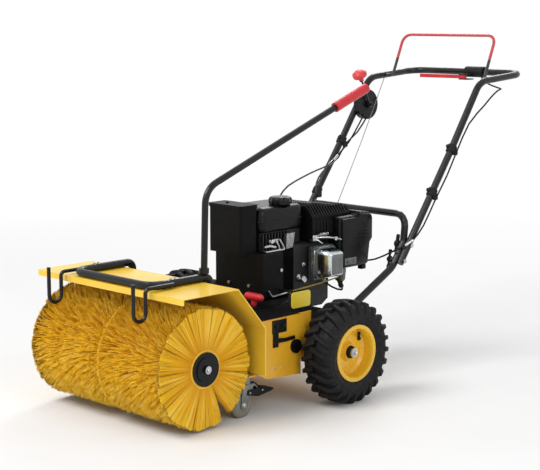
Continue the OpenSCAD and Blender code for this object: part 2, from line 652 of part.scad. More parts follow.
module tyre() {
    rotate_extrude() polygon([for (s = [-1, 1]) each [for (p = s < 0 ? tyre_side : tyre_back) [p[0],
        s * p[1]]]]);
    intersection() {
        cylinder(d = tyre_d, h = 2 * tyre_w, center = true);
        for (i = [0:lug_count - 1], s = [-1, 1]) rotate([0, 0, 360 * (i + s * 0.25) / lug_count])
            translate([carcass_r - 3, 0, s * half_tyre * 0.42]) rotate([s * 28, 0, 0])
                translate([0, -lug_long / 2, -half_tyre * 0.38]) cube([lug_h + 6, lug_long, half_tyre * 0.76]);
    }
}
lug_long = 17;
tyre_side = [[bead_r + run, bead_x], [rim_r + 1, bead_x], [rim_r + 9, bead_x + 5], [carcass_r - 36,
    half_tyre - 1.5],
    [carcass_r - 24, half_tyre], [carcass_r - 8, half_tyre - 7], [carcass_r - 2, half_tyre - 20], [carcass_r,
    half_tyre - 36]];
tyre_back = [for (i = [len(tyre_side) - 1:-1:0]) tyre_side[i]];

module wheel_place(side) translate([side * wheel_x, 0, axle_z]) rotate([0, side * 90, 0]) children();
module rim_left() color(yellow) in_frame() wheel_place(1) rim();
module rim_right() color(yellow) in_frame() wheel_place(-1) rim();
module tyre_left() color(black) in_frame() wheel_place(1) tyre();
module tyre_right() color(black) in_frame() wheel_place(-1) tyre();

// Engine

case_x0 = -100;
case_x1 = 90;
case_z1 = 470;
// The sump reaches down to the chassis deck behind the tower
sump_z = 262;
sump_y = 205;

// The block in front of the crankcase carries the tank and has cooling ribs on both sides
block_x0 = -84;
block_x1 = 70;
block_y0 = -78;
rib_h = 9;
rib_pitch = 14;

module crankcase() color(dark) in_frame() difference() {
    union() {
        prism_y(engine_y0, engine_y1) round_rect([case_x0, plate_z], [case_x1, case_z1], 16);
        prism_x(case_x0 + 10, case_x1 - 2) polygon([[tower_back + gap, chassis_z],
            [tower_back + gap, plate_z + 20], [engine_y1, plate_z + 20], [engine_y1, sump_z],
            [sump_y, chassis_z]]);
        box([block_x0, block_y0, housing_z], [block_x1, engine_y0 + 1, tank_z0]);
        box([block_x0, engine_y0, case_z1 - 1], [block_x1, tank_y1 - 12, tank_z0]);
        for (y = [block_y0 + 6:rib_pitch:engine_y0 - 10]) box([block_x0 - rib_h, y, housing_z + 3],
            [block_x1 + rib_h, y + 5, tank_z0 - 3]);
    }
    y_rod(shaft_r + run, engine_y0 - 1, engine_y0 + 32, 0, crank_z);
}

head_y0 = 130;
head_y1 = 232;
head_x1 = 128;
head_z0 = 340;
head_z1 = case_z1 - 17;

module cylinder_head() color(grey) in_frame() {
    box([case_x1, head_y0 + 14, head_z0 + 14], [head_x1 - 6, head_y1 - 14, head_z1 - 14]);
    for (x = [case_x1 + 6:9:head_x1 - 8]) prism_x(x, x + 4)
        round_rect([head_y0, head_z0], [head_y1, head_z1], 10);
    prism_x(head_x1 - 7, head_x1) round_rect([head_y0 + 4, head_z0 + 4], [head_y1 - 4, head_z1 - 4], 10);
}

cover_x1 = 180;
module valve_cover() color(bright) in_frame() {
    prism_x(head_x1, head_x1 + 6) round_rect([head_y0 + 4, head_z0 + 4], [head_y1 - 4, head_z1 - 4], 14);
    prism_x(head_x1 + 5, cover_x1 - 8) round_rect([head_y0 + 10, head_z0 + 8], [head_y1 - 10, head_z1 - 8], 16);
    prism_x(cover_x1 - 9, cover_x1) round_rect([head_y0 + 16, head_z0 + 14], [head_y1 - 16, head_z1 - 14], 14);
}

tank_z0 = 516;
tank_z1 = 600;
tank_y1 = 124;
cap_x = 46;
cap_y = 44;
neck_r = 24;

module fuel_tank() color(black) in_frame() {
    prism_z(tank_z0, tank_z1 - 8) round_rect([-95, -84], [82, tank_y1], 22);
    prism_z(tank_z1 - 9, tank_z1) round_rect([-88, -77], [75, tank_y1 - 7], 18);
    prism_z(tank_z0 + 34, tank_z0 + 40) round_rect([-98.5, -87.5], [85.5, tank_y1 + 3.5], 25);
    z_rod(neck_r, tank_z1 - 1, tank_z1 + 12, cap_x, cap_y);
}

module fuel_cap() color(black) in_frame() difference() {
    union() {
        z_rod(37, tank_z1 + gap, tank_z1 + 26, cap_x, cap_y);
        for (a = [0:30:330]) translate([cap_x, cap_y, tank_z1 + gap]) rotate([0, 0, a]) translate([35, -4,
            0]) cube([4.5, 8, 22]);
    }
    z_rod(neck_r + run, tank_z1, tank_z1 + 12 + gap, cap_x, cap_y);
}

guard_x0 = -72;
guard_x1 = 112;
guard_y0 = 130;
guard_y1 = 322;
guard_z = 594;
shelf_z = 545;

// The guard's outline from the side, a shelf behind it over the air box, and its sloped shoulders from the front
function guard_side(t) = [[guard_y0 + t, case_z1 - t], [guard_y0 + t, guard_z - 8 - t],
    [guard_y0 + 8 + t / 2, guard_z - t],
    [guard_y0 + 56, guard_z - t], [guard_y1 - t, guard_z - 22 - t], [guard_y1 - t, shelf_z + t],
    [engine_y1 - t, shelf_z + t], [engine_y1 - t, case_z1 - t]];
function guard_face(t) = [[guard_x0 + t, case_z1 - t], [guard_x0 + t, shelf_z + 10 - t / 2], [guard_x0 + 34,
    guard_z + 3 - t],
    [guard_x1 - 40, guard_z + 3 - t], [guard_x1 - t, shelf_z + 7 - t / 2], [guard_x1 - t, case_z1 - t]];
module guard_body(t) intersection() {
    prism_x(guard_x0 - 1, guard_x1 + 1) polygon(guard_side(t));
    prism_y(guard_y0 - 1, guard_y1 + 1) polygon(guard_face(t));
}
module muffler_guard() color(black) in_frame() difference() {
    guard_body(0);
    guard_body(wall);
    for (y = [guard_y0 + 20:13:guard_y1 - 14]) box([guard_x1 - 36, y, shelf_z + 15], [guard_x1, y + 6,
        guard_z - 14]);
    for (y = [guard_y0 + 18:16:engine_y1 - 24]) box([guard_x1 - 12, y, case_z1 + 20], [guard_x1 + 1, y + 8,
        shelf_z - 8]);
}

air_x0 = 76;
air_x1 = 152;
air_y1 = 400;
air_z0 = 366;
air_z1 = 560;
// The air box steps in towards its foot and tucks its front under the guard's shelf
function air_outline(t) = let (y0 = engine_y1 + gap + t, y1 = air_y1 - t, z0 = air_z0 + t,
    step = guard_y1 + gap + t, c = 10)
    [[y0, z0 + c], [y0, shelf_z - gap - t], [step, shelf_z - gap - t], [step, air_z1 - t], [y1 - c,
        air_z1 - c - t], [y1, air_z1 - 3 * c],
        [y1, air_z0 + 92], [y1 - 14, air_z0 + 78], [y1 - 24, z0 + c], [y1 - 24 - c, z0], [y0 + c, z0]];
module air_box() color(black) in_frame() {
    prism_x(air_x0, air_x1 - 12) polygon(air_outline(0));
    prism_x(air_x1 - 13, air_x1) polygon(air_outline(6));
}

module flywheel_cover() color(dark) in_frame() {
    y_rod(74, engine_y1, engine_y1 + 78, 0, crank_z);
    y_rod(58, engine_y1 + 77, engine_y1 + 92, 0, crank_z);
}

box_front = 162;
module battery_box() color(black) in_frame() {
    prism_z(housing_z, 604) round_rect([-80, -box_front], [70, -88], 8);
    prism_z(603, 614) round_rect([-83, -box_front - 3], [73, -86], 9);
    z_rod(5, 613, 618, -30, -box_front + 36, $fn = 6);
}

// The tag is carried by an arm from the drive housing, above the linkage rod
tag_x = 200;
tag_y = -20;
tag_z = 284;
tag_arm_z = 326;
module rating_plate() color([0.98, 0.83, 0.10]) in_frame() {
    prism_x(tag_x, tag_x + 3) round_rect([tag_y - 44, tag_z], [tag_y + 44, tag_z + 52], 10);
    box([housing_w / 2, tag_y - 8, tag_arm_z], [tag_x + 1, tag_y + 8, tag_arm_z + 5]);
}

rod_x = housing_w / 2 + 4.2;
module linkage_rod() color(bright) in_frame()
    sweep(rounded(in_plane(rod_x, [[-84, 334], [-68, 311], [14, 318]]), [16], 4), 4, 8, [1, 0, 0]);

// Handle

module lower_frame() color(black) in_frame() {
    leg = in_plane(lower_x, [[105, 212], clamp_foot, [clamp_foot[0] + 60, clamp_foot[1] + 82], [472, 540]]);
    sweep(rounded(concat(leg, mirrored(leg)), [70, 40, 40, 40, 40, 70], 4), tube_r, 12, [0, -0.8, 0.6]);
}

module upper_handle() color(black) in_frame() {
    leg = in_plane(upper_x, [clamp_foot + 18 * clamp_dir, [692, 756], handle_knee, handle_end]);
    sweep(rounded(concat(leg, mirrored(leg)), [320, 80, 62, 62, 80, 320], 6), tube_r, 12, [0, -0.8, 0.6]);
}

bolt_r = 4;
module handle_bolt(at, inner) {
    x_rod(bolt_r, inner, upper_x + tube_r, at[0], at[1]);
    x_rod(8, upper_x + tube_r, upper_x + tube_r + 6, at[0], at[1], $fn = 6);
}
module housing_bolt(x, z) y_rod(6, -housing_front - 5, -housing_front, x, z, $fn = 6);
module bolts() color(bright) in_frame() {
    both_sides() handle_bolt(knob_at, lower_x - tube_r - 12);
    both_sides() handle_bolt(bolt_at, lower_x - tube_r - 8);
    both_sides() x_rod(7, lower_x - tube_r - 8, lower_x - tube_r, bolt_at[0], bolt_at[1], $fn = 6);
    for (x = [-47, 47]) housing_bolt(x, deck_z + 42);
    both_sides() x_rod(6, housing_w / 2, housing_w / 2 + 5, -housing_back - 12, crank_z - 9, $fn = 6);
}

wing_half = 33;
wing_tilt = 78;
module wing_knob() difference() {
    union() {
        x_rod(12, lower_x - tube_r - 16, lower_x - tube_r - gap, knob_at[0], knob_at[1]);
        prism_x(lower_x - tube_r - 15, lower_x - tube_r - 8) translate(knob_at) rotate(wing_tilt)
            round_rect([-wing_half, -6], [wing_half, 6], 5.9);
    }
    x_rod(bolt_r + run, lower_x - tube_r - 12 - run, lower_x, knob_at[0], knob_at[1]);
}
module wing_knob_left() color(black) in_frame() wing_knob();
module wing_knob_right() color(black) in_frame() mirror([1, 0, 0]) wing_knob();

module cable_clips() color(black) in_frame() {
    for (p = [[692, 743], [583, 595]]) x_clip(upper_x + tube_r + run, p);
    for (p = [[694, 738], [551, 560]]) x_clip(-upper_x + tube_r + run, p);
}
module x_clip(x, p) prism_x(x, x + 6) round_rect([p[0] - 11, p[1] - 11], [p[0] + 11, p[1] + 11], 5);

function smooth(route) = [for (i = [0:len(route) - 2]) each [spline_at(route, i, 0), spline_at(route, i, 0.5)],
    route[len(route) - 1]];
module cable(route, d) sweep(smooth(route), d / 2, 8, [0.3, -0.7, 0.65]);
module clutch_cable() color(black) in_frame() cable(clutch_route, cable_d);
module throttle_cable() color(black) in_frame() cable(throttle_route, cable_d);
module shift_cable() color(black) in_frame() cable(shift_route, cable_d);
module brake_wire() color(bright) in_frame() cable(brake_route, 3);

pivot_pin_r = 6;
disc_x = quadrant_x + run;
hub_x = disc_x + quadrant_t + 6;
module shift_quadrant() color(black) in_frame() {
    x_rod(quadrant_d / 2, disc_x, disc_x + quadrant_t, quadrant_at[0], quadrant_at[1]);
    x_rod(14, disc_x + quadrant_t - 1, hub_x, quadrant_at[0], quadrant_at[1]);
    x_rod(pivot_pin_r, hub_x - 1, hub_x + 14, quadrant_at[0], quadrant_at[1]);
}
shift_tip = [-62, 112];
module along_lever() translate([hub_x + 4, quadrant_at[0], quadrant_at[1]]) rotate([atan2(-shift_tip[0],
    shift_tip[1]), 0, 0])
    children();
module shift_lever() color(red) in_frame() {
    color(black) difference() {
        union() {
            x_rod(11, hub_x + gap, hub_x + 8, quadrant_at[0], quadrant_at[1]);
            along_lever() cylinder(r = 3.6, h = norm(shift_tip) - 10);
        }
        x_rod(pivot_pin_r + run, disc_x, hub_x + 24, quadrant_at[0], quadrant_at[1]);
    }
    along_lever() translate([0, 0, norm(shift_tip) - 26]) rotate_extrude()
        polygon([[0, 0], [8, 0], [11, 12], [26, 20], [28, 30], [26, 37], [17, 43], [0, 45]]);
}

clamp_x0 = 0;
clamp_x1 = 82;
clamp_pin = [16, handle_reach - 40];
clamp_pin_r = 3;
// The clutch lever lies a little lower than the crossbar
lever_z = handle_z - 18;
module lever_clamp() color(black) in_frame() difference() {
    union() {
        x_rod(tube_r + 8, clamp_x0, clamp_x1, handle_reach, handle_z);
        for (z = [lever_z - 11, lever_z + 7]) box([clamp_x0, handle_reach - 52, z], [clamp_x0 + 40,
            handle_reach - 10, z + 4]);
        z_rod(clamp_pin_r, lever_z - 11, lever_z + 11, clamp_pin[0], clamp_pin[1]);
    }
    x_rod(tube_r + run, clamp_x0 - 1, clamp_x1 + 1, handle_reach, handle_z);
}
clutch_len = 198;
module clutch_lever() color(red) in_frame() difference() {
    prism_z(lever_z - 6.6, lever_z + 6.6) translate(clamp_pin) {
        circle(10);
        rotate(clutch_tilt) translate([-clutch_len, -7]) round_rect([0, 0], [clutch_len, 14], 6);
    }
    z_rod(clamp_pin_r + run, lever_z - 12, lever_z + 12, clamp_pin[0], clamp_pin[1]);
}
clutch_tilt = 5;

bail_top = [bail_at[0] + 66, bail_at[1] + bail_h];
module bail() color(red) in_frame() {
    side = [[upper_x - tube_r - gap, bail_at[0], bail_at[1]], [bail_x, bail_at[0], bail_at[1]], [bail_x,
        bail_top[0], bail_top[1]]];
    sweep(rounded(concat(side, mirrored(side)), [14, 34, 34, 14], 5), bail_d / 2, 10, [0, -0.9, 0.44]);
    both_sides() x_rod(bail_d / 2 + 1.5, bail_x + 14, upper_x - tube_r - gap, bail_at[0], bail_at[1]);
}

chassis();
swing_plate();
kingpins();
drive_housing();
belt();
transmission();
axle_bearings();
crankcase();
cylinder_head();
valve_cover();
fuel_tank();
muffler_guard();
air_box();
flywheel_cover();
battery_box();
rating_plate();
linkage_rod();
lower_frame();
upper_handle();
bolts();
cable_clips();
clutch_cable();
throttle_cable();
shift_cable();
brake_wire();
shift_quadrant();
lever_clamp();
engine_pulley();
input_shaft();
axle();
rim_left();
rim_right();
tyre_left();
tyre_right();
hood();
head_frame();
worm_case();
collector_frame();
collector_hooks();
swing_lever();
lever_grip();
latch_bracket();
brush_shaft();
bristles_left();
bristles_right();
brush_ends();
worm_shaft();
caster_fork_left();
caster_fork_right();
caster_wheel_left();
caster_wheel_right();
lock_pin();
latch_lever();
side_knob();
fuel_cap();
bail();
clutch_lever();
shift_lever();
wing_knob_left();
wing_knob_right();
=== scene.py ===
import math
import random

import bpy
import bmesh
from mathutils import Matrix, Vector


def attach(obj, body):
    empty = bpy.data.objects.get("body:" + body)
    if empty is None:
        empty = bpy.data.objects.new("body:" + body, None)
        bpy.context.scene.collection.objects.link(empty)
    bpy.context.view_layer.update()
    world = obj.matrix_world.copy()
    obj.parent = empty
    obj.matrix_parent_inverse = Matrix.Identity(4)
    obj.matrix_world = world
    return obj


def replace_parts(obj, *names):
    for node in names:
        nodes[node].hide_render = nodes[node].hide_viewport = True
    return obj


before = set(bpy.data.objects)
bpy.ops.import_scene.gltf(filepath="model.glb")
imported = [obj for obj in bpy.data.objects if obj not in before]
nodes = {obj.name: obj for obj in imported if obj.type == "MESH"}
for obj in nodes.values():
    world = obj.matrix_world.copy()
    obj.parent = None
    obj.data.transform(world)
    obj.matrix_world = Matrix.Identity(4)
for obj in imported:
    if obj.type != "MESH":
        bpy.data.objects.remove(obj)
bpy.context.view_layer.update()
scene = bpy.context.scene
scene.view_settings.view_transform = "Standard"
# Only the brush draws from this, strand by strand
rng = random.Random(41)

SIDES = (("left", 1), ("right", -1))

# Places that the scene shares with the source, in millimetres
WHEEL_X = 378
HUB_Z = 165
BRUSH_Y = -539
BRUSH_Z = 190
CASTER_X = 268
# The drive axle's place in the frame, in metres
AXLE_Y = -0.20175


def at(x, y, z):
    """A point in millimetres from the drive axle (Y) and the floor (Z), in the frame's metres."""
    return Vector((x / 1000, y / 1000 + AXLE_Y, z / 1000))


def turns(count):
    """The angles of a full turn in equal steps."""
    return [2 * math.pi * k / count for k in range(count)]


def linear(c):
    """One channel of an sRGB colour, from 0 to 255, as a linear value."""
    if c > 10:
        return ((c / 255 + 0.055) / 1.055) ** 2.4
    return c / 255 / 12.92


def srgb(r, g, b):
    """An sRGB colour as linear red, green, blue and alpha."""
    return (linear(r), linear(g), linear(b), 1.0)


# Materials

COAT_ROUGHNESS = 0.12
# The bands of a noise's values that are spread over a change of colour or of roughness
COLOUR_BAND = (0.35, 0.65)
ROUGH_BAND = (0.3, 0.7)
# How far from an edge the colour of wear and of a painted highlight shows on coated sheet and on
# plastic, in metres
SHEET_WEAR_AND_HIGHLIGHT = 0.0015
MOULD_WEAR_AND_HIGHLIGHT = 0.002
# Cosines between the true and the rounded normal, on flat faces and on sharp edges
FLAT_COSINE = 0.99
EDGE_COSINE = 0.80
BEVEL_SAMPLES = 6
# Fine streaks run across the Z axis of plated metal
STREAKS = (40.0, 40.0, 900.0)
# Half the height over which a two-tone rod changes colour, in metres
TONE_BLEND = 0.001
SATIN = (0.28, 0.42)


class Paint:
    """A principled material whose nodes are added step by step."""

    def __init__(self, name, metallic=0.0, coat=0.0, specular=0.5):
        self.mat = bpy.data.materials.new(name)
        self.mat.use_nodes = True
        self.tree = self.mat.node_tree
        self.tree.nodes.clear()
        self.out = self.add("ShaderNodeOutputMaterial")
        self.bsdf = self.add("ShaderNodeBsdfPrincipled", {
            "Metallic": metallic,
            "Coat Weight": coat,
            "Coat Roughness": COAT_ROUGHNESS,
            "Specular IOR Level": specular,
        })
        self.link(self.bsdf.outputs[0], self.out.inputs[0])
        self.coords = self.add("ShaderNodeTexCoord").outputs["Object"]

    def add(self, kind, values=None):
        """A new node with constants on its named inputs."""
        node = self.tree.nodes.new(kind)
        for socket, value in (values or {}).items():
            node.inputs[socket].default_value = value
        return node

    def link(self, a, b):
        self.tree.links.new(a, b)

    def stretched(self, scale):
        mapping = self.add("ShaderNodeMapping", {"Scale": scale})
        self.link(self.coords, mapping.inputs["Vector"])
        return mapping.outputs[0]

    def noise(self, scale, detail, stretch=None, rough=0.55):
        n = self.add("ShaderNodeTexNoise", {"Scale": scale, "Detail": detail, "Roughness": rough})
        self.link(self.stretched(stretch) if stretch else self.coords, n.inputs["Vector"])
        return n.outputs["Fac"]

    def remap(self, value, lo, hi, out_lo=0.0, out_hi=1.0):
        m = self.add("ShaderNodeMapRange", {
            "From Min": lo,
            "From Max": hi,
            "To Min": out_lo,
            "To Max": out_hi,
        })
        self.link(value, m.inputs["Value"])
        return m.outputs[0]

    def mix(self, factor, a, b):
        m = self.add("ShaderNodeMix")
        m.data_type = "RGBA"
        self.link(factor, m.inputs["Factor"])
        for socket, colour in ((m.inputs[6], a), (m.inputs[7], b)):
            if isinstance(colour, tuple):
                socket.default_value = colour
            else:
                self.link(colour, socket)
        return m.outputs[2]

    def drift(self, a, b, scale, detail, band=COLOUR_BAND):
        """A slow, cloudy change between two colours."""
        return self.mix(self.remap(self.noise(scale, detail), *band), a, b)

    def edges(self, radius):
        """Near 1 along convex and concave edges and 0 on flat faces."""
        bevel = self.add("ShaderNodeBevel", {"Radius": radius})
        bevel.samples = BEVEL_SAMPLES
        geometry = self.add("ShaderNodeNewGeometry")
        dot = self.add("ShaderNodeVectorMath")
        dot.operation = "DOT_PRODUCT"
        self.link(bevel.outputs[0], dot.inputs[0])
        self.link(geometry.outputs["Normal"], dot.inputs[1])
        return self.remap(dot.outputs["Value"], FLAT_COSINE, EDGE_COSINE)

    def step(self, axis, start, end):
        """From 0 to 1 between two places along one axis."""
        split = self.add("ShaderNodeSeparateXYZ")
        self.link(self.coords, split.inputs[0])
        return self.remap(split.outputs[axis], start, end)

    def colour(self, value):
        self.link(value, self.bsdf.inputs["Base Color"])

    def rough(self, value, limits):
        """A roughness that follows a noise between two limits."""
        self.link(self.remap(value, *ROUGH_BAND, *limits), self.bsdf.inputs["Roughness"])

    def bump(self, height, strength, distance):
        b = self.add("ShaderNodeBump", {"Strength": strength, "Distance": distance})
        self.link(height, b.inputs["Height"])
        self.link(b.outputs[0], self.bsdf.inputs["Normal"])


def coated(name, base, shade, wear_and_highlight_colour, rough=SATIN, coat=0.2, specular=0.5, split=None):
    """Powder-coated sheet with dust, orange peel, and edges lightened partly by wear and partly by
    a painted highlight; a split adds a second colour.
    """
    p = Paint(name, coat=coat, specular=specular)
    drift = p.drift(base, shade, scale=7.0, detail=5.0)
    specks = p.remap(p.noise(scale=160.0, detail=3.0), lo=0.62, hi=0.74, out_hi=0.45)
    dusty = p.mix(specks, drift, shade)
    # Convex and concave edges alike take the lighter colour: partly wear, partly a painted
    # highlight
    wear_and_highlight_mask = p.remap(p.edges(SHEET_WEAR_AND_HIGHLIGHT), lo=0.0, hi=1.0, out_hi=0.7)
    painted = p.mix(wear_and_highlight_mask, dusty, wear_and_highlight_colour)
    if split:
        axis, start, end, colour = split
        painted = p.mix(p.step(axis, start, end), painted, colour)
    p.colour(painted)
    p.rough(p.noise(scale=45.0, detail=6.0), rough)
    p.bump(p.noise(scale=900.0, detail=2.0), strength=0.06, distance=0.0004)
    return p.mat


def moulded(name, base, shade, rough, specular=0.5, edge=None):
    """Moulded plastic with a fine grain and, where an edge colour is given, edges lightened partly
    by polish and partly by a painted highlight.
    """
    p = Paint(name, specular=specular)
    drift = p.drift(base, shade, scale=11.0, detail=5.0)
    if edge:
        # Convex and concave edges alike take the edge colour: partly polish, partly a painted
        # highlight
        wear_and_highlight_mask = p.remap(p.edges(MOULD_WEAR_AND_HIGHLIGHT), lo=0.0, hi=1.0, out_hi=0.6)
        drift = p.mix(wear_and_highlight_mask, drift, edge)
    p.colour(drift)
    p.rough(p.noise(scale=70.0, detail=5.0), rough)
    p.bump(p.noise(scale=1400.0, detail=2.0), strength=0.12, distance=0.0004)
    return p.mat


def steel(name, base, shade, rough=(0.22, 0.4), bump=0.06):
    """Plated or brushed metal with fine streaks and a cloudy plating."""
    p = Paint(name, metallic=1.0)
    p.colour(p.drift(base, shade, scale=26.0, detail=6.0, band=(0.32, 0.68)))
    streaks = p.noise(scale=1.0, detail=4.0, stretch=STREAKS)
    p.rough(streaks, rough)
    p.bump(streaks, strength=bump, distance=0.0003)
    return p.mat


def cast(name, base, shade, metallic=0.75):
    """Sand- or die-cast metal with a pebbled skin."""
    p = Paint(name, metallic=metallic)
    p.colour(p.drift(base, shade, scale=30.0, detail=6.0))
    p.rough(p.noise(scale=90.0, detail=4.0), (0.4, 0.62))
    p.bump(p.noise(scale=520.0, detail=5.0), strength=0.3, distance=0.0006)
    return p.mat


def rubber(name, base, dust, dusty=0.5):
    """Rubber with a bloom and pale dust in patches."""
    p = Paint(name, specular=0.25)
    bloom = p.noise(scale=19.0, detail=8.0, rough=0.7)
    patches = p.remap(bloom, lo=0.5, hi=0.78, out_hi=dusty)
    p.colour(p.mix(patches, base, dust))
    p.rough(p.noise(scale=60.0, detail=4.0), (0.55, 0.8))
    p.bump(p.noise(scale=700.0, detail=4.0), strength=0.25, distance=0.0005)
    return p.mat


def two_tone(name, low, high, level, wear_and_highlight_colour):
    """Coated rod that changes colour at a height, in metres."""
    p = Paint(name, coat=0.3)
    both = p.mix(p.step("Z", level - TONE_BLEND, level + TONE_BLEND), low, high)
    wear_and_highlight_mask = p.remap(p.noise(scale=60.0, detail=6.0), lo=0.55, hi=0.75, out_hi=0.35)
    p.colour(p.mix(wear_and_highlight_mask, both, wear_and_highlight_colour))
    p.rough(p.noise(scale=40.0, detail=5.0), SATIN)
    p.bump(p.noise(scale=800.0, detail=2.0), strength=0.06, distance=0.0004)
    return p.mat


def strands(name, root, tip, pale, dark, gap_shade):
    """Bristle: each strand has its own tone, roots are darker than tips, and a brown painted shade
    darkens the gaps between tufts and the core.
    """
    p = Paint(name)
    attribute = p.add("ShaderNodeAttribute")
    attribute.attribute_name = "tone"
    split = p.add("ShaderNodeSeparateColor")
    p.link(attribute.outputs["Color"], split.inputs[0])
    tone = split.outputs["Red"]
    length = split.outputs["Green"]
    along = p.mix(length, root, tip)
    light = p.mix(p.remap(tone, lo=0.5, hi=1.0, out_hi=0.8), along, pale)
    deep = p.mix(p.remap(tone, lo=0.28, hi=0.0, out_hi=0.8), light, dark)
    toned = p.mix(p.remap(length, lo=0.0, hi=0.5, out_lo=0.15), along, deep)
    # Painted shade: the Blue channel mixes in the gap colour where tufts part and on the core
    # between strands
    p.colour(p.mix(split.outputs["Blue"], toned, gap_shade))
    p.rough(p.noise(scale=300.0, detail=3.0), (0.38, 0.6))
    p.bump(p.noise(scale=900.0, detail=2.0), strength=0.15, distance=0.0003)
    return p.mat


# Base colour, shade and worn or dusty colour of each material; on coated sheet, and in the edge
# colour of moulded plastic, the worn colour is also a painted highlight
WARM_BLACK = srgb(15, 14, 14)
yellow_sheet = coated("yellow_sheet", srgb(232, 176, 42), srgb(220, 162, 34), srgb(244, 204, 96))
# The hood's paint is the head frame's yellow made lighter and more lemon: partly its own hue,
# partly painted light where its top faces the lamps
hood_sheet_lit = coated("hood_sheet_lit", srgb(246, 204, 62), srgb(238, 192, 50), srgb(252, 226, 124))
# The chassis is yellow up to its deck, and the tower on it is black
chassis_paint = coated("chassis_paint", srgb(238, 184, 46), srgb(226, 168, 36), srgb(248, 210, 100),
                       coat=0.05, specular=0.3, split=("Z", 0.2418, 0.2426, WARM_BLACK))
yellow_rim = coated("yellow_rim", srgb(238, 190, 40), srgb(226, 174, 30), srgb(250, 218, 104),
                    rough=(0.22, 0.34))
# The plate is yellow, and the arm behind it is black
bright_plate = coated("bright_plate", srgb(254, 234, 54), srgb(248, 220, 46), srgb(255, 242, 130),
                      split=("X", 0.1992, 0.1984, WARM_BLACK))
black_coat = coated("black_coat", srgb(15, 15, 16), srgb(11, 11, 12), srgb(38, 38, 40),
                    rough=(0.26, 0.4), coat=0.06, specular=0.3)
black_sheet = coated("black_sheet", srgb(10, 10, 10), srgb(8, 8, 8), srgb(26, 25, 25),
                     rough=(0.4, 0.55), coat=0.0, specular=0.1)
black_mould = moulded("black_mould", srgb(11, 11, 13), srgb(8, 8, 10),
                      rough=(0.24, 0.4), specular=0.22, edge=srgb(38, 38, 42))
soft_black = moulded("soft_black", srgb(18, 18, 20), srgb(14, 14, 16),
                     rough=(0.5, 0.7), specular=0.25, edge=srgb(40, 40, 42))
dull_black = moulded("dull_black", srgb(14, 14, 15), srgb(11, 11, 12),
                     rough=(0.85, 0.95), specular=0.04)
red_mould = moulded("red_mould", srgb(208, 40, 50), srgb(190, 30, 42),
                    rough=SATIN, edge=srgb(232, 92, 96))
red_rod = two_tone("red_rod", srgb(18, 18, 20), srgb(190, 56, 62), 1.058, srgb(120, 50, 52))
shift_knob = two_tone("shift_knob", srgb(16, 16, 18), srgb(212, 44, 50), 0.975, srgb(190, 46, 50))
zinc = steel("zinc", srgb(206, 207, 210), srgb(178, 179, 182))
grey_zinc = steel("grey_zinc", srgb(150, 153, 148), srgb(120, 123, 118), rough=(0.35, 0.55))
brass = steel("brass", srgb(176, 158, 84), srgb(140, 122, 60), rough=(0.3, 0.5))
chrome = steel("chrome", srgb(214, 222, 226), srgb(184, 194, 200), rough=(0.14, 0.26), bump=0.02)
alloy = cast("alloy", srgb(128, 131, 130), srgb(102, 105, 104))
dark_cast = cast("dark_cast", srgb(24, 24, 26), srgb(17, 17, 19), metallic=0.3)
tread = rubber("tread", srgb(15, 15, 16), srgb(34, 34, 33))
hose = rubber("hose", srgb(14, 14, 15), srgb(28, 28, 28), dusty=0.3)
grey_rubber = rubber("grey_rubber", srgb(132, 130, 116), srgb(172, 168, 150))
bristle = strands("bristle", root=srgb(228, 174, 32), tip=srgb(255, 214, 46),
                  pale=srgb(255, 230, 112), dark=srgb(206, 138, 20), gap_shade=srgb(136, 82, 14))

FINISHES = (
    (hood_sheet_lit, "hood"),
    (yellow_sheet, "head_frame"),
    (chassis_paint, "chassis"),
    (yellow_rim, "rim_left rim_right"),
    (bright_plate, "rating_plate"),
    (black_sheet, "swing_plate drive_housing battery_box muffler_guard"),
    (black_coat, "collector_frame collector_hooks swing_lever lower_frame upper_handle"),
    (black_coat, "latch_bracket latch_lever"),
    (black_mould, "shift_quadrant fuel_tank air_box fuel_cap side_knob brush_ends brush_shaft"),
    (soft_black, "cable_clips lever_clamp wing_knob_left wing_knob_right"),
    (hose, "belt clutch_cable throttle_cable shift_cable"),
    (tread, "tyre_left tyre_right"),
    (grey_rubber, "caster_wheel_left caster_wheel_right"),
    (red_mould, "lever_grip lock_pin clutch_lever"),
    (shift_knob, "shift_lever"),
    (red_rod, "bail"),
    (zinc, "kingpins bolts linkage_rod axle worm_shaft"),
    (grey_zinc, "brake_wire engine_pulley input_shaft caster_fork_left caster_fork_right"),
    (dark_cast, "axle_bearings crankcase flywheel_cover transmission worm_case"),
    (alloy, "cylinder_head"),
    (chrome, "valve_cover"),
    (bristle, "bristles_left bristles_right"),
)
FINISH = {name: material for material, names in FINISHES for name in names.split()}
for name, node in nodes.items():
    node.data.materials.clear()
    node.data.materials.append(FINISH[name])


# Meshes

# Edges sharper than this stay sharp, in degrees
SHARP = 35.0


def piece(name, mesh, material, body, smooth=SHARP):
    """A finished mesh as an object that rides on a body."""
    mesh.materials.append(material)
    if smooth:
        mesh.shade_smooth()
        mesh.set_sharp_from_angle(angle=math.radians(smooth))
    obj = bpy.data.objects.new(name, mesh)
    scene.collection.objects.link(obj)
    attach(obj, body)
    return obj


def mesh_from(name, verts, faces):
    mesh = bpy.data.meshes.new(name)
    mesh.from_pydata([tuple(v) for v in verts], [], faces)
    mesh.validate()
    return mesh


# Brush, in metres: strands gathered in tufts, over a packed core in each wafer

BRUSH = at(0, BRUSH_Y, BRUSH_Z)
TIP_R = 0.187
CORE_R = 0.138
BACK_R = 0.0552
ROLL_START = 0.0282
ROLL_END = 0.3045
WAFERS = 4
WAFER_GAP = 0.0004
TUFTS = 66
STRAND = 0.00115

# A strand's three corners, and how far its middle is bowed along the roll and round it
STRAND_CORNERS = (0.0, 2.1, 4.2)
BOW_ALONG = 0.12
BOW_ROUND = 0.14

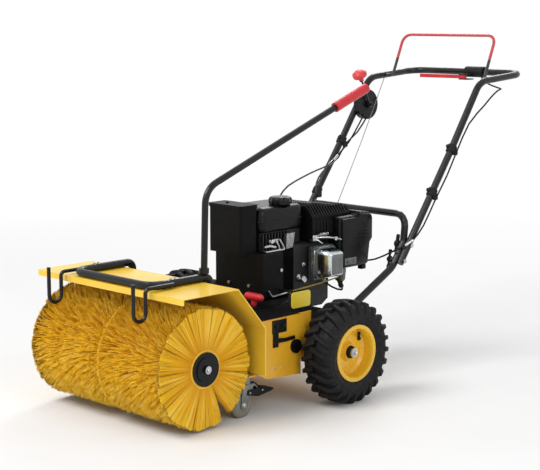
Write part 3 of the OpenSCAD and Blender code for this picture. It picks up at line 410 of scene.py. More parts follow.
# A parting turns with the depth behind the outer end, by this many radians for a metre
SKEW = 4.2
# It pushes strands aside as far as this many half widths, and is open over less in the core
PART_REACH = 2.2
PART_OPEN = 0.8

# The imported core: steps round it, its radial grooves, and how deep a parting cuts into it
CORE_STEPS = 144
GROOVE = 0.0012
RIDGE = -0.0006
PARTED_R = 0.09
# Its tone in the ridges and, by the second number more, in the grooves
CORE_TONE = (0.42, 0.25)
# How far along a strand it is coloured, at its rim and at its back
CORE_LENGTH = (0.45, 0.2)
# How much painted shade covers the core where it shows between strands
CORE_SHADE = 0.85

# In the groups below, SCATTER and WOBBLE move a tuft and a strand round the roll, LEAN and BEND
# turn their tips, RAGGED and FRAY shorten them, and TONE weighs a tuft's tone and a strand's own

# The flat tufts of the outer ends, and how much painted shade their layers carry towards their
# tips, which darkens the slits between tufts
FACE_DEPTH = 0.009
FACE_ROOT = 0.0565
FACE_STRAND = 0.00095
FACE_STRANDS = 8
FACE_TAPER = -0.06
LAYER_DEPTH = 0.0024
LAYER_SHADE = (0.0, 0.5, 0.7)
FACE_SCATTER = 0.16
FACE_LEAN = 0.012
FACE_BEND = 0.006
FACE_RAGGED = 0.008
FACE_FRAY = 0.004
FACE_TONE = (0.7, 0.3)
# The turn between two strands of a tuft, how deep a root lies, and how much deeper its tip
FACE_SPREAD = (0.0086, 0.0122)
FACE_INSET = (0.0004, 0.002)
FACE_SLOPE = (-0.0003, 0.0016)

# The tufts at the inner ends, and the turn at which the drive tube comes out between the halves
INNER_LAYERS = 4
INNER_ROOT = 0.075
INNER_STRANDS = 6
INNER_TAPER = 0.1
INNER_SCATTER = 0.2
INNER_WOBBLE = 0.036
INNER_BEND = 0.02
INNER_RAGGED = 0.006
INNER_FRAY = 0.006
# How far a tuft reaches into the space between the halves, and how much a strand differs from it
INNER_REACH = (0.0005, 0.003)
REACH_FRAY = (-0.001, 0.002)
TUBE_FROM = 0.0
TUBE_TO = 0.75
TUBE_REACH = 0.001

# The tufts of a wafer fan out over a width, and are shorter towards its faces
ROWS = 7
ROW_ROOT = 0.105
ROW_STRANDS = 5
FAN = 0.008
CROWN = 0.007
ROW_SCATTER = 0.22
ROW_WOBBLE = 0.032
ROW_LEAN = 0.035
ROW_BEND = 0.014
ROW_FRAY = 0.007
TUFT_TONE = (0.65, 0.35)
# How much a tuft's fan, a strand's root and a strand's tip differ along the roll
FAN_FRAY = 0.003
ROOT_FRAY = 0.0036
TIP_FRAY = 0.0035


def in_brush(x, r, a):
    """A point of the roll at a place along it, a radius and a turn."""
    return Vector((x, BRUSH.y + r * math.cos(a), BRUSH.z + r * math.sin(a)))


def either_way(amount):
    return rng.uniform(-amount, amount)


def up_to(amount):
    return rng.uniform(0.0, amount)


def own_tone(tuft, weights):
    """A strand's tone, partly its tuft's and partly its own."""
    return weights[0] * tuft + weights[1] * rng.random()


class Strands:
    """Gathers thin tapered strands, each with its own tone, into one mesh."""

    def __init__(self):
        self.verts = []
        self.faces = []
        self.tones = []

    def strand(self, root, tip, width, tone, taper=0.22, shade=0.0):
        """A three-sided strand from a root to a tip, a little bowed, and shaded beyond its root."""
        first = len(self.verts)
        x0, a0, r0 = root
        x1, a1, r1 = tip
        middle = (
            (x0 + x1) / 2 + (x1 - x0) * BOW_ALONG,
            (a0 + a1) / 2 - (a1 - a0) * BOW_ROUND,
            (r0 + r1) / 2,
        )
        for k, (x, a, r) in enumerate((root, middle, tip)):
            w = width * (1.0 - taper * k)
            for turn in STRAND_CORNERS:
                self.verts.append(in_brush(x + w * math.cos(turn), r, a + w * math.sin(turn) / r))
                self.tones.append((tone, k / 2, shade if k else 0.0))
        for k in (0, 3):
            for j in range(3):
                a = first + k + j
                b = first + k + (j + 1) % 3
                self.faces.append((a, b, b + 3, a + 3))
        self.faces.append((first + 6, first + 7, first + 8))

    def mesh(self, name):
        mesh = mesh_from(name, self.verts, self.faces)
        layer = mesh.color_attributes.new("tone", "FLOAT_COLOR", "POINT")
        for i, (tone, along, shade) in enumerate(self.tones):
            layer.data[i].color = (tone, along, shade, 1.0)
        return mesh


def around(a, centre):
    """The signed turn from a centre to an angle."""
    return (a - centre + math.pi) % (2 * math.pi) - math.pi


def parted(a, gaps, depth=0.0):
    """How far the tip of a strand at an angle is pushed aside by the partings."""
    for centre, half in gaps:
        d = around(a, centre + SKEW * depth)
        if abs(d) < PART_REACH * half:
            side = 1 if d > 0 else -1
            return side * (half - abs(d) / PART_REACH)
    return 0.0


def add_core(s, x0, x1, gaps):
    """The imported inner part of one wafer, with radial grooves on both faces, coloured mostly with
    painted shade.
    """
    first = len(s.verts)
    rings = [(x0, BACK_R), (x0, CORE_R), (x1, CORE_R), (x1, BACK_R)]
    for j, a in enumerate(turns(CORE_STEPS)):
        odd = j % 2
        for k, (x, r) in enumerate(rings):
            rim = r == CORE_R
            skew = SKEW * (ROLL_END - abs(x))
            in_gap = any(abs(around(a, turn + skew)) < PART_OPEN * half for turn, half in gaps)
            side = 1 if k < 2 else -1
            groove = GROOVE if odd else RIDGE
            lift = groove if rim else 0.0
            radius = PARTED_R if in_gap and rim else r
            s.verts.append(in_brush(x + side * lift, radius, a))
            tone = CORE_TONE[0] + CORE_TONE[1] * odd
            s.tones.append((tone, CORE_LENGTH[0] if rim else CORE_LENGTH[1], CORE_SHADE))
    for j in range(CORE_STEPS):
        for k in range(4):
            a = first + 4 * j
            b = first + 4 * ((j + 1) % CORE_STEPS)
            m = (k + 1) % 4
            s.faces.append((a + k, b + k, b + m, a + m))


def end_face(s, x, face, gaps):
    """The outer end of the roll: three layers of flat tufts that show their whole length, the
    deeper two darkened with painted shade so that slits show between the tufts.
    """
    for layer, shade in enumerate(LAYER_SHADE):
        for t in range(TUFTS):
            shift = layer / len(LAYER_SHADE)
            a = 2 * math.pi * (t + shift + either_way(FACE_SCATTER)) / TUFTS
            tip_r = TIP_R - up_to(FACE_RAGGED)
            lean = either_way(FACE_LEAN) + parted(a, gaps)
            spread = rng.uniform(*FACE_SPREAD)
            tuft = rng.random()
            for k in range(FACE_STRANDS):
                inset = LAYER_DEPTH * layer + rng.uniform(*FACE_INSET)
                b = a + (k - (FACE_STRANDS - 1) / 2) * spread
                root = (x - face * inset, b, FACE_ROOT)
                tip = (
                    x - face * (inset + rng.uniform(*FACE_SLOPE)),
                    b + lean + either_way(FACE_BEND),
                    tip_r - up_to(FACE_FRAY),
                )
                tone = own_tone(tuft, FACE_TONE)
                s.strand(root, tip, FACE_STRAND, tone, FACE_TAPER, shade)


def inner_face(s, x, face, lean_in, short):
    """The end beside the drive tube: tufts that lean into the space between the halves."""
    for layer in range(INNER_LAYERS):
        for t in range(TUFTS):
            shift = layer / INNER_LAYERS
            a = (2 * math.pi * (t + shift + either_way(INNER_SCATTER)) / TUFTS) % (2 * math.pi)
            reach = rng.uniform(*INNER_REACH) + lean_in * layer / (INNER_LAYERS - 1)
            tip_r = TIP_R - short - up_to(INNER_RAGGED)
            tuft = rng.random()
            if TUBE_FROM < a < TUBE_TO:
                reach = TUBE_REACH
            for _ in range(INNER_STRANDS):
                b = a + either_way(INNER_WOBBLE)
                root = (x, b, INNER_ROOT)
                tip = (
                    x + face * (reach + rng.uniform(*REACH_FRAY)),
                    b + either_way(INNER_BEND),
                    tip_r - up_to(INNER_FRAY),
                )
                s.strand(root, tip, STRAND, own_tone(tuft, TUFT_TONE), INNER_TAPER)


def wafer(s, x0, x1, gaps):
    """One ring of the brush: tufts that fan out towards both its faces."""
    width = x1 - x0
    for row in range(ROWS):
        u = (row + 0.5) / ROWS
        middle = x0 + width * u
        short = CROWN * abs(2 * u - 1) ** 2
        for t in range(TUFTS):
            a = 2 * math.pi * (t + 0.5 * (row % 2) + either_way(ROW_SCATTER)) / TUFTS
            fan = (u - 0.5) * FAN + either_way(FAN_FRAY)
            lean = either_way(ROW_LEAN) + parted(a, gaps, ROLL_END - abs(middle))
            tuft = rng.random()
            for _ in range(ROW_STRANDS):
                x = middle + either_way(ROOT_FRAY)
                b = a + either_way(ROW_WOBBLE)
                root = (x, b, ROW_ROOT)
                tip = (
                    x + fan + either_way(TIP_FRAY),
                    b + lean + either_way(ROW_BEND),
                    TIP_R - short - up_to(ROW_FRAY),
                )
                s.strand(root, tip, STRAND, own_tone(tuft, TUFT_TONE))


HALVES = {"bristles_left": (ROLL_START, ROLL_END), "bristles_right": (-ROLL_END, -ROLL_START)}
# The turn and half width of each parting at the outer ends
END_GAPS = [(math.radians(-97), 0.022), (math.radians(-63), 0.13)]
# How far the inner tufts of each half lean across the middle, and how much shorter they are
INNER_LEAN = {"bristles_left": (0.0, 0.0), "bristles_right": (0.042, 0.007)}
for name, (x0, x1) in HALVES.items():
    s = Strands()
    left = x0 > 0
    outer, inner, out_side, outermost = (x1, x0, 1, WAFERS - 1) if left else (x0, x1, -1, 0)
    step = (x1 - x0) / WAFERS
    for k in range(WAFERS):
        w0 = x0 + k * step + WAFER_GAP
        w1 = x0 + (k + 1) * step - WAFER_GAP
        gaps = END_GAPS if k == outermost else []
        room = FACE_DEPTH if k == outermost else 0
        add_core(s, w0 + (0 if left else room), w1 - (room if left else 0), gaps)
        wafer(s, w0, w1, gaps)
    end_face(s, outer, out_side, END_GAPS)
    inner_face(s, inner, -out_side, *INNER_LEAN[name])
    title = name + "_strands"
    roll = piece(title, s.mesh(title), bristle, "brush", smooth=0)
    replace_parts(roll, name)


# Shapes, in millimetres from the drive axle and the floor

UP = (0, 0, 1)
DOWN = (0, 0, -1)
NEAR = (1, 0, 0)
BEVEL_STEPS = 3
# The least radius of a lathed point and of a rounded corner
LEAST_R = 0.02
LEAST_CORNER = 2.0
CORNER_POINTS = 7


class Shape:
    """A mesh put together from bevelled boxes, prisms, lathed rounds and tubes."""

    def __init__(self):
        self.bm = bmesh.new()

    def take(self, bm):
        """Adds a closed body to the mesh."""
        bmesh.ops.recalc_face_normals(bm, faces=bm.faces[:])
        mesh = bpy.data.meshes.new("part")
        bm.to_mesh(mesh)
        bm.free()
        self.bm.from_mesh(mesh)
        bpy.data.meshes.remove(mesh)

    def take_bevelled(self, bm, bevel, segments):
        """Adds a body with its edges rounded."""
        bmesh.ops.bevel(bm, geom=bm.edges[:], offset=bevel / 1000, segments=segments,
                        affect="EDGES", profile=0.5)
        self.take(bm)

    def rings(self, rings, closed=False):
        """A skin over rings of points, with flat ends unless it closes on itself."""
        bm = bmesh.new()
        rows = [[bm.verts.new(p) for p in ring] for ring in rings]
        pairs = list(zip(rows, rows[1:]))
        if closed:
            pairs.append((rows[-1], rows[0]))
        for a, b in pairs:
            for i in range(len(a)):
                j = (i + 1) % len(a)
                bm.faces.new((a[i], a[j], b[j], b[i]))
        if not closed:
            bm.faces.new(rows[0])
            bm.faces.new(rows[-1])
        self.take(bm)

    def box(self, lo, hi, bevel):
        bm = bmesh.new()
        bmesh.ops.create_cube(bm, size=1.0)
        a = at(*lo)
        b = at(*hi)
        for v in bm.verts:
            v.co = Vector((a[k] + (v.co[k] + 0.5) * (b[k] - a[k]) for k in range(3)))
        self.take_bevelled(bm, bevel, BEVEL_STEPS)

    def prism_x(self, x0, x1, outline, bevel, segments):
        """An outline in Y and Z between two places along X."""
        bm = bmesh.new()
        ends = [[bm.verts.new(at(x, y, z)) for y, z in outline] for x in (x0, x1)]
        for end in ends:
            bm.faces.new(end)
        for i in range(len(outline)):
            j = (i + 1) % len(outline)
            bm.faces.new((ends[0][i], ends[0][j], ends[1][j], ends[1][i]))
        bmesh.ops.recalc_face_normals(bm, faces=bm.faces[:])
        self.take_bevelled(bm, bevel, segments)

    def lathe(self, origin, direction, profile, count):
        """Turns a profile of places along and distances from an axis."""
        axis = Vector(direction).normalized()
        u = axis.orthogonal().normalized()
        w = axis.cross(u)
        start = at(*origin)
        rings = []
        for h, r in profile:
            centre = start + axis * (h / 1000)
            radius = max(r, LEAST_R) / 1000
            rings.append([centre + (u * math.cos(a) + w * math.sin(a)) * radius
                          for a in turns(count)])
        self.rings(rings)

    def tube(self, points, radius, sides=10):
        """A round rod along a path, kept from twisting."""
        path = [at(*p) for p in points]
        side = (path[1] - path[0]).orthogonal().normalized()
        rings = []
        for i, p in enumerate(path):
            along = (path[min(i + 1, len(path) - 1)] - path[max(i - 1, 0)]).normalized()
            side = (side - along * side.dot(along)).normalized()
            up = along.cross(side)
            rings.append([p + (side * math.cos(a) + up * math.sin(a)) * (radius / 1000)
                          for a in turns(sides)])
        self.rings(rings)

    def bolt(self, origin, direction, r, h):
        """A washer with a chamfered hexagon head on it."""
        washer = [(0, 0), (0, 1.5 * r), (1.2, 1.5 * r), (1.5, 1.4 * r), (1.5, 0)]
        head = [(1.2, 0), (1.2, r), (1.2 + 0.8 * h, r), (1.2 + h, 0.8 * r), (1.2 + h, 0)]
        self.lathe(origin, direction, washer, 24)
        self.lathe(origin, direction, head, 6)

    def piece(self, name, material, body, slot, smooth=SHARP):
        """Ends the mesh and puts it into the scene."""
        mesh = bpy.data.meshes.new(name)
        bmesh.ops.recalc_face_normals(self.bm, faces=self.bm.faces[:])
        self.bm.to_mesh(mesh)
        self.bm.free()
        return piece(name, mesh, material, body, smooth)


def corners(lo, hi, r, z, inset):
    """A rounded rectangle in X and Y at one height."""
    x0 = lo[0] + inset
    y0 = lo[1] + inset
    x1 = hi[0] - inset
    y1 = hi[1] - inset
    q = max(r - inset, LEAST_CORNER)
    centres = (
        (x1 - q, y1 - q, 0),
        (x0 + q, y1 - q, 90),
        (x0 + q, y0 + q, 180),
        (x1 - q, y0 + q, 270),
    )
    ring = []
    for cx, cy, start in centres:
        for k in range(CORNER_POINTS):
            a = math.radians(start + 90 * k / (CORNER_POINTS - 1))
            ring.append((cx + q * math.cos(a), cy + q * math.sin(a), z))
    return ring


# Tyres with chevron lugs that wrap over the shoulder

# Places across the casing and their radii, from the rim to the middle of the tread
SIDE_WALL = [
    (44.0, 84.3), (44.2, 92.0), (47.5, 97.0), (50.0, 103.0), (52.2, 110.0), (53.8, 112.4),
    (54.4, 114.0), (53.6, 115.6), (54.0, 123.0), (53.6, 130.0), (51.0, 137.5), (46.0, 144.0),
    (37.0, 148.6), (22.0, 151.4), (0.0, 152.2),
]
# Places across, radii and heights along a lug, from the middle of the tread to the side wall
LUG_PATH = [
    (-5.0, 152.0, 12.2), (10.0, 151.8, 12.8), (26.0, 150.6, 13.6), (38.0, 148.0, 14.4),
    (46.0, 143.4, 13.2), (50.4, 138.0, 9.0), (53.0, 131.0, 4.6), (53.6, 126.0, 0.6),
]
CASING_STEPS = 132
TYRE_SHARP = 28.0
LUGS = 24
# How far the two rows are turned against each other, in pitches of a lug
ROW_SHIFT = 0.25
LUG_HALF = 7.4
LUG_NARROWING = 0.2
LUG_SLANT = 0.42
SLANT_END = 46.0
# A lug's foot is wider than its flank and sunk into the casing, and its top is narrower
FOOT_OUT = 1.6
FOOT_LIFT = -3.0
FLANK = 0.72
TOP_IN = 1.8
# The tyre's radius and half width
TREAD_R = 164.8
TREAD_X = 57.2
# The lugs keep inside this shoulder line, so that the swung head's latch lever passes them
SHOULDER_R = 329.0
SHOULDER_RISE = 3.5


def lug_outline(k):
    """A lug's outline at one step of its path: places across, radii and lengths round the tyre."""
    x, r, height = LUG_PATH[k]
    x_next, r_next, _ = LUG_PATH[min(k + 1, len(LUG_PATH) - 1)]
    x_last, r_last, _ = LUG_PATH[max(k - 1, 0)]
    run = x_next - x_last
    drop = r_next - r_last
    size = math.hypot(run, drop)
    half = LUG_HALF - LUG_NARROWING * k
    slant = LUG_SLANT * min(x, SLANT_END)
    section = (
        (-half - FOOT_OUT, FOOT_LIFT), (-half, FLANK * height), (-half + TOP_IN, height),
        (half - TOP_IN, height), (half, FLANK * height), (half + FOOT_OUT, FOOT_LIFT),
    )
    outline = []
    for t, lift in section:
        rr = min(r + run / size * lift, TREAD_R)
        xx = min(x - drop / size * lift, TREAD_X, (SHOULDER_R - rr) / SHOULDER_RISE)
        outline.append((xx, rr, t + slant))
    return outline


def tyre(name, side):
    """A closed casing with two rows of lugs."""
    def place(x, r, a):
        return at(side * (WHEEL_X + x), r * math.cos(a), HUB_Z + r * math.sin(a))

    s = Shape()
    profile = SIDE_WALL + [(-x, r) for x, r in reversed(SIDE_WALL[:-1])]
    s.rings([[place(x, r, a) for a in turns(CASING_STEPS)] for x, r in profile], closed=True)
    lug = [lug_outline(k) for k in range(len(LUG_PATH))]
    for row in (-1, 1):
        for i in range(LUGS):
            middle = 2 * math.pi * (i + ROW_SHIFT * row) / LUGS
            s.rings([[place(row * x, r, middle + t / r) for x, r, t in outline]
                     for outline in lug])
    tyre_piece = s.piece(name + "_tread", tread, "drive_wheels", "tyre", smooth=TYRE_SHARP)
    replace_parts(tyre_piece, name)


for side_name, side in SIDES:
    tyre("tyre_" + side_name, side)

# Wheel trim: a valve stem, a dark hub ring and a bolt in each hub
VALVE_STEM = [(0, 0), (0, 8), (3, 7.4), (5, 5), (20, 4.2), (21, 4.8), (29, 4.8), (30, 3.5), (30, 0)]
HUB_RING = [(0, 0), (0, 21), (4, 20), (12, 17), (13.8, 15.9), (13.8, 0)]
HUB_WASHER = [(0, 0), (0, 13), (1.6, 13), (2.2, 12), (2.2, 0)]
AXLE_END = [(0, 0), (0, 5), (3, 5), (4.5, 3), (4.5, 0)]
for side_name, side in SIDES:
    s = Shape()
    s.lathe((side * 384, 56, 197), (side * 0.42, -0.42, 0.8), VALVE_STEM, 20)
    s.lathe((side * 398, 0, HUB_Z), (side, 0, 0), HUB_RING, 32)
    s.piece("hub_trim_" + side_name, soft_black, "drive_wheels", "black_plastic")
    s = Shape()
    s.lathe((side * 417, 0, HUB_Z), (side, 0, 0), HUB_WASHER, 28)
    s.lathe((side * 423, 0, HUB_Z), (side, 0, 0), AXLE_END, 20)
    s.piece("hub_bolt_" + side_name, zinc, "drive_wheels", "zinc_steel")

# Brush ends: a yellow backing ring round each black disc and a bolt in its middle
BACKING_RING = [(0, 51.9), (0, 58.4), (1.4, 58.2), (2.2, 57), (2.2, 53.4), (1.6, 51.9)]
for side_name, side in SIDES:
    s = Shape()
    s.lathe((side * 303.6, BRUSH_Y, BRUSH_Z), (side, 0, 0), BACKING_RING, 64)
    s.piece("brush_ring_" + side_name, yellow_rim, "brush", "bristle")
    s = Shape()
    s.bolt((side * 318, BRUSH_Y, BRUSH_Z), (side, 0, 0), 8.0, 5.5)
    s.piece("brush_bolt_" + side_name, zinc, "brush", "zinc_steel")

# Fuel tank: a moulded shell with a seam flange, a crowned top, shallow ribs and a filler neck
TANK = ((-95, -84), (82, 124), 24)
# Heights and insets, from the bottom to the top
TANK_SHELL = [
    (516, 12), (519, 6), (524, 2.5), (532, 0.8), (549, 0), (549.6, -2.6), (551, -3.4), (555, -3.4),
    (556.4, -2.6), (557, 0), (576, 0.8), (586, 2.6), (592, 6), (596, 11), (598.4, 17), (599.6, 26),
    (600, 40),
]
CAP_X = 46
CAP_Y = 44
FILLER_NECK = [(0, 0), (0, 30), (1.2, 29), (1.2, 24), (12.5, 24), (12.5, 0)]
s = Shape()
s.rings([[at(*p) for p in corners(*TANK, z, inset)] for z, inset in TANK_SHELL])
for y in (-52, -36, -20):
    s.box((-66, y, 598.6), (2, y + 7, 601.6), 1.4)
s.box((-60, 92, 598.0), (60, 106, 602.0), 1.8)
s.lathe((CAP_X, CAP_Y, 599), UP, FILLER_NECK, 36)
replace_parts(s.piece("tank_shell", black_mould, "machine", "black_plastic"), "fuel_tank")

# Fuel cap: a lobed grip with a dished top
CAP_LOBES = 8
CAP_STEPS = 96
# Heights, radii and depths of the lobes
CAP_GRIP = [
    (600.4, 33, 0.4), (602, 36.6, 1.6), (608, 37.4, 1.9), (618, 37.0, 1.9), (623, 35.0, 1.5),
    (625.6, 31, 0.8), (626.2, 26, 0), (625.4, 22, 0), (624.6, 6, 0),
]


def cap_ring(z, r, wave):
    """A lobed outline at one height."""
    ring = []
    for a in turns(CAP_STEPS):
        reach = r + wave * math.cos(CAP_LOBES * a)
        ring.append(at(CAP_X + reach * math.cos(a), CAP_Y + reach * math.sin(a), z))
    return ring


s = Shape()
s.rings([cap_ring(*level) for level in CAP_GRIP])
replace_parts(s.piece("cap_grip", black_mould, "cap", "black_plastic"), "fuel_cap")

# Muffler guard: rounded bars between its slots, side louvres, ribs on its top and a front lip
GUARD_BARS = 13
BAR_PITCH = 13
FIRST_BAR = 143.4
# The guard's roof falls towards the rear behind this place
ROOF_BREAK = 186
ROOF_FALL = 0.16
s = Shape()
for k in range(GUARD_BARS):
    y = FIRST_BAR + BAR_PITCH * k
    roof = 590.4 - ROOF_FALL * max(0, y - ROOF_BREAK)
    s.tube([(108, y, 556), (99, y, 567.5), (88, y, 581), (80, y, roof)], 2.6, 8)
for y in range(138, 232, 8):
    s.box((110.2, y, 488), (113.2, y + 3.2, 539), 1.0)
for x in range(-30, 70, 12):
    s.box((x, 146, 592.6), (x + 5, 184, 595.4), 1.2)
s.box((-38, 142, 592.4), (74, 145, 596.2), 1.2)
s.piece("guard_bars", black_mould, "machine", "black_paint")

# Air box: the stepped body, its cover with a rim, ribs, a cover nut and a foot
BODY = [
    (235.6, 366.6), (235.6, 544.4), (322.6, 544.4), (322.6, 559.4), (390, 549.4), (399.4, 530),
    (399.4, 458), (385.6, 444), (375.4, 366.6),
]
COVER = [
    (242, 373), (242, 538), (330, 538.4), (330, 552.4), (388, 543), (393.6, 530), (393.6, 460),
    (380.6, 446), (370.6, 373),
]
RIM = [
    (238, 369), (238, 542.4), (325, 542.6), (325, 557), (389, 547), (397.4, 530), (397.4, 459),
    (383.6, 445), (373.6, 369),
]
s = Shape()
s.prism_x(76.4, 140, BODY, 5.0, 3)
s.prism_x(137, 152, COVER, 5.0, 3)
s.prism_x(137.5, 141.5, RIM, 1.4, 2)
for z in (470, 482, 494):
    s.box((150.6, 262, z), (152.6, 372, z + 4), 0.8)
s.lathe((149, 352, 520), NEAR, [(0, 0), (0, 11), (4, 10.6), (6, 8), (6, 0)], 24)
s.box((120, 352, 352), (140, 374, 368), 2.0)
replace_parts(s.piece("air_box_shell", black_mould, "machine", "black_plastic"), "air_box")

# Carburettor: a control plate on the air box and a float bowl with its bolt under it
FLOAT_BOWL = [(0, 0), (0, 15.4), (12, 15.4), (14, 14), (34, 13.2), (40, 10), (41, 0)]
s = Shape()
s.box((151, 247, 380), (156, 306, 404), 2.0)
s.lathe((155, 262, 392), NEAR, [(0, 0), (0, 6), (4, 5.6), (4, 0)], 18)
s.lathe((155, 292, 392), NEAR, [(0, 0), (0, 4.6), (3, 4.2), (3, 0)], 18)
s.lathe((136, 251, 367), DOWN, FLOAT_BOWL, 28)
s.piece("carburettor", alloy, "machine", "cast_alloy")
s = Shape()
s.bolt((136, 251, 327), DOWN, 5.5, 6)
s.piece("carburettor_bolt", soft_black, "machine", "black_plastic")

# Valve cover: a polished rounded shell with a flange, and a flat grey face on it
COVER_LO = (134, 344)
COVER_HI = (228, 449)
# Places along X and insets
COVER_SHELL = [
    (106, -1), (110, -2.4), (118, -2.6), (121, -1), (122, 2), (130, 2.6), (150, 5), (164, 8),
    (172, 11.4), (177, 15.6), (179, 19), (179.8, 25),
]
COVER_FACE = [(178.6, 19), (180.2, 20), (181.4, 22), (181.8, 27)]


def cover_ring(x, inset, r):
    """A rounded outline at one place along X."""
    return [at(x, y, z) for y, z, _ in corners(COVER_LO, COVER_HI, r, 0.0, inset)]


s = Shape()
s.rings([cover_ring(x, inset, 22.0) for x, inset in COVER_SHELL])
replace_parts(s.piece("cover_shell", chrome, "machine", "chrome"), "valve_cover")
s = Shape()
s.rings([cover_ring(x, inset, 26.0) for x, inset in COVER_FACE])
s.piece("cover_face", alloy, "machine", "cast_alloy")

# Throttle links and a spring on the near side of the engine
COIL_POINTS = 70
COIL_R = 4.5
# The turn and the rise from one point of the coil to the next
COIL_TURN = 0.7
COIL_RISE = 0.62
COIL = []
for k in range(COIL_POINTS):
    turn = k * COIL_TURN
    COIL.append((126 + COIL_R * math.cos(turn), 150 + k * COIL_RISE, 494 + COIL_R * math.sin(turn)))
UPPER_LINK = [
    (118, 138, 474), (124, 142, 484), (140, 150, 487), (150, 168, 486), (152, 205, 480),
    (150, 232, 472),
]
s = Shape()
s.tube(UPPER_LINK, 2.6)
s.tube([(112, 120, 476), (128, 118, 482), (142, 128, 478), (148, 140, 468)], 2.2)
s.box((112.5, 128, 473), (118, 158, 492), 1.6)
s.lathe((118, 143, 482), NEAR, [(0, 0), (0, 8), (3, 8), (4, 6), (4, 0)], 20)
s.lathe((148, 206, 478), NEAR, [(0, 0), (0, 7), (4, 6.4), (4, 0)], 20)
s.tube(COIL, 1.1, 6)
s.piece("throttle_links", zinc, "machine", "zinc_steel")

# Bolts and an oil plug on the near side of the engine
OIL_PLUG = [(0, 0), (0, 8), (14, 8), (16, 11), (22, 11), (24, 9), (24, 0)]
s = Shape()
for place, r in (((90, 111, 394), 5.0), ((90, 88, 353), 7.0), ((90, 212, 330), 4.6)):
    s.bolt(place, NEAR, r, 5)
s.lathe((90, 92, 344), (1, 0, 0.2), OIL_PLUG, 24)
s.piece("engine_bolts", zinc, "machine", "zinc_steel")

# Throttle rod along the near side
s = Shape()
s.tube([(116.2, 12, 318), (119, 40, 320), (124, 100, 325), (130, 170, 332), (136, 237, 340)], 2.6)
s.tube([(116.2, 16, 310), (116.2, 16, 324)], 3.4)
s.piece("throttle_rod", brass, "machine", "zinc_steel")

# Governor bracket and cooling fins on the near side, in front of the crankcase
FINS = 6
FIN_PITCH = 7
s = Shape()
s.box((79, -76, 456), (100, 12, 461), 1.4)
s.box((80, -52, 484), (92, -4, 495), 2.0)
s.tube([(92, -78, 474), (96, -56, 476), (96, -30, 470)], 4.0)
s.tube([(94, -10, 494), (97, 2, 474), (95, 12, 460)], 3.4)
s.tube([(94, -26, 492), (97, -18, 476), (95, -10, 461)], 3.0)
s.lathe((88, -44, 489), NEAR, [(0, 0), (0, 7), (8, 6), (8, 0)], 20)
for k in range(FINS):
    y = 20 + FIN_PITCH * k
    lean = 1.2 * k
    fin = [(y, 458), (y + 3.4, 458), (y + 7 + lean, 508), (y + 3.6 + lean, 508)]
    s.prism_x(80, 98 - 1.6 * k, fin, 0.9, 2)
s.piece("governor_bracket", zinc, "machine", "cast_alloy")

# Spark plug, its cap and lead
SPARK_PLUG = [(0, 0), (0, 9), (6, 9), (7, 6), (20, 6), (22, 9), (34, 8), (36, 5), (36, 0)]
SPARK_LEAD = [
    (167, 221, 309), (160, 226, 301), (140, 226, 300), (118, 222, 306), (100, 216, 316),
    (88, 212, 322),
]
s = Shape()
s.lathe((150, 214, 342), (0.5, 0.2, -1), SPARK_PLUG, 20)
s.tube(SPARK_LEAD, 3.2)
s.piece("spark_lead", hose, "machine", "black_rubber")

# Bolts on the collector bracket and on the latch
s = Shape()
for arm in (-182, 182):
    for y in (-560, -545):
        s.bolt((arm, y, 446.4), UP, 4.4, 4)
s.piece("head_bolts", zinc, "head", "zinc_steel")
s = Shape()
for y in (-243, -213):
    s.bolt((312, y, 271), NEAR, 4.0, 3.0)
s.piece("latch_bolts", soft_black, "head", "black_paint")

# Black mat on the head frame's top, in the slit under the swing plate, with a trim along each side
MAT_LO = (-303.6, -322)
MAT_HI = (303.6, -131)
MAT_CORNER = 9.0
MAT_LEVELS = [(298.04, 0.3), (298.12, 0), (298.3, 0), (298.4, 0.3)]
s = Shape()
s.rings([[at(*p) for p in corners(MAT_LO, MAT_HI, MAT_CORNER, z, inset)]
         for z, inset in MAT_LEVELS])
for x in (-304.2, 304.2):
    s.tube([(x, -320, 297.2), (x, -132, 297.2)], 1.1, 8)
s.piece("deck_mat", dull_black, "head", "black_rubber")

# Lower wing nut of each side, a step along the raked tube from the joint of the handle
NUT_STEP = 30
NUT_Y = 402 + NUT_STEP * 0.593
NUT_Z = 364 + NUT_STEP * 0.805
NUT_HUB = [(0, 0), (0, 11), (5, 12), (12, 9), (14, 7), (14, 0)]
NUT_WING = [(4, 0), (4, 4.6), (16, 4.2), (24, 6.4), (31, 6.2), (34, 3.4), (34, 0)]
for side_name, side in SIDES:
    s = Shape()
    s.lathe((side * 213.4, NUT_Y, NUT_Z), (-side, 0, 0), NUT_HUB, 24)
    for sign in (-1, 1):
        s.lathe((side * 206, NUT_Y, NUT_Z), (0, sign * 0.2, sign * 0.98), NUT_WING, 20)
    s.piece("wing_nut_" + side_name, soft_black, "machine", "black_plastic")

# Collars round the tubes of the handle, each with a screw
RAKE = (0, 0.594, 0.805)
ACROSS = (0, -0.805, 0.594)
COLLAR = [
    (-15, 12.2), (-15, 15), (-13, 16.8), (-4, 17.4), (4, 17.4), (13, 16.8), (15, 15), (15, 12.2),
]
COLLAR_SCREW = [(0, 0), (0, 7), (6, 7), (8, 5.6), (8, 0)]
COLLAR_PLACES = (
    (258.55, 690, 753), (-258.55, 690, 753), (-258.55, 556, 572), (258.55, 583, 608.5),
)
s = Shape()
for x, y, z in COLLAR_PLACES:
    s.lathe((x, y, z), RAKE, COLLAR, 24)
    s.lathe((x * 0.985, y - 13, z + 9), ACROSS, COLLAR_SCREW, 18)
s.piece("tube_collars", soft_black, "machine", "black_plastic")

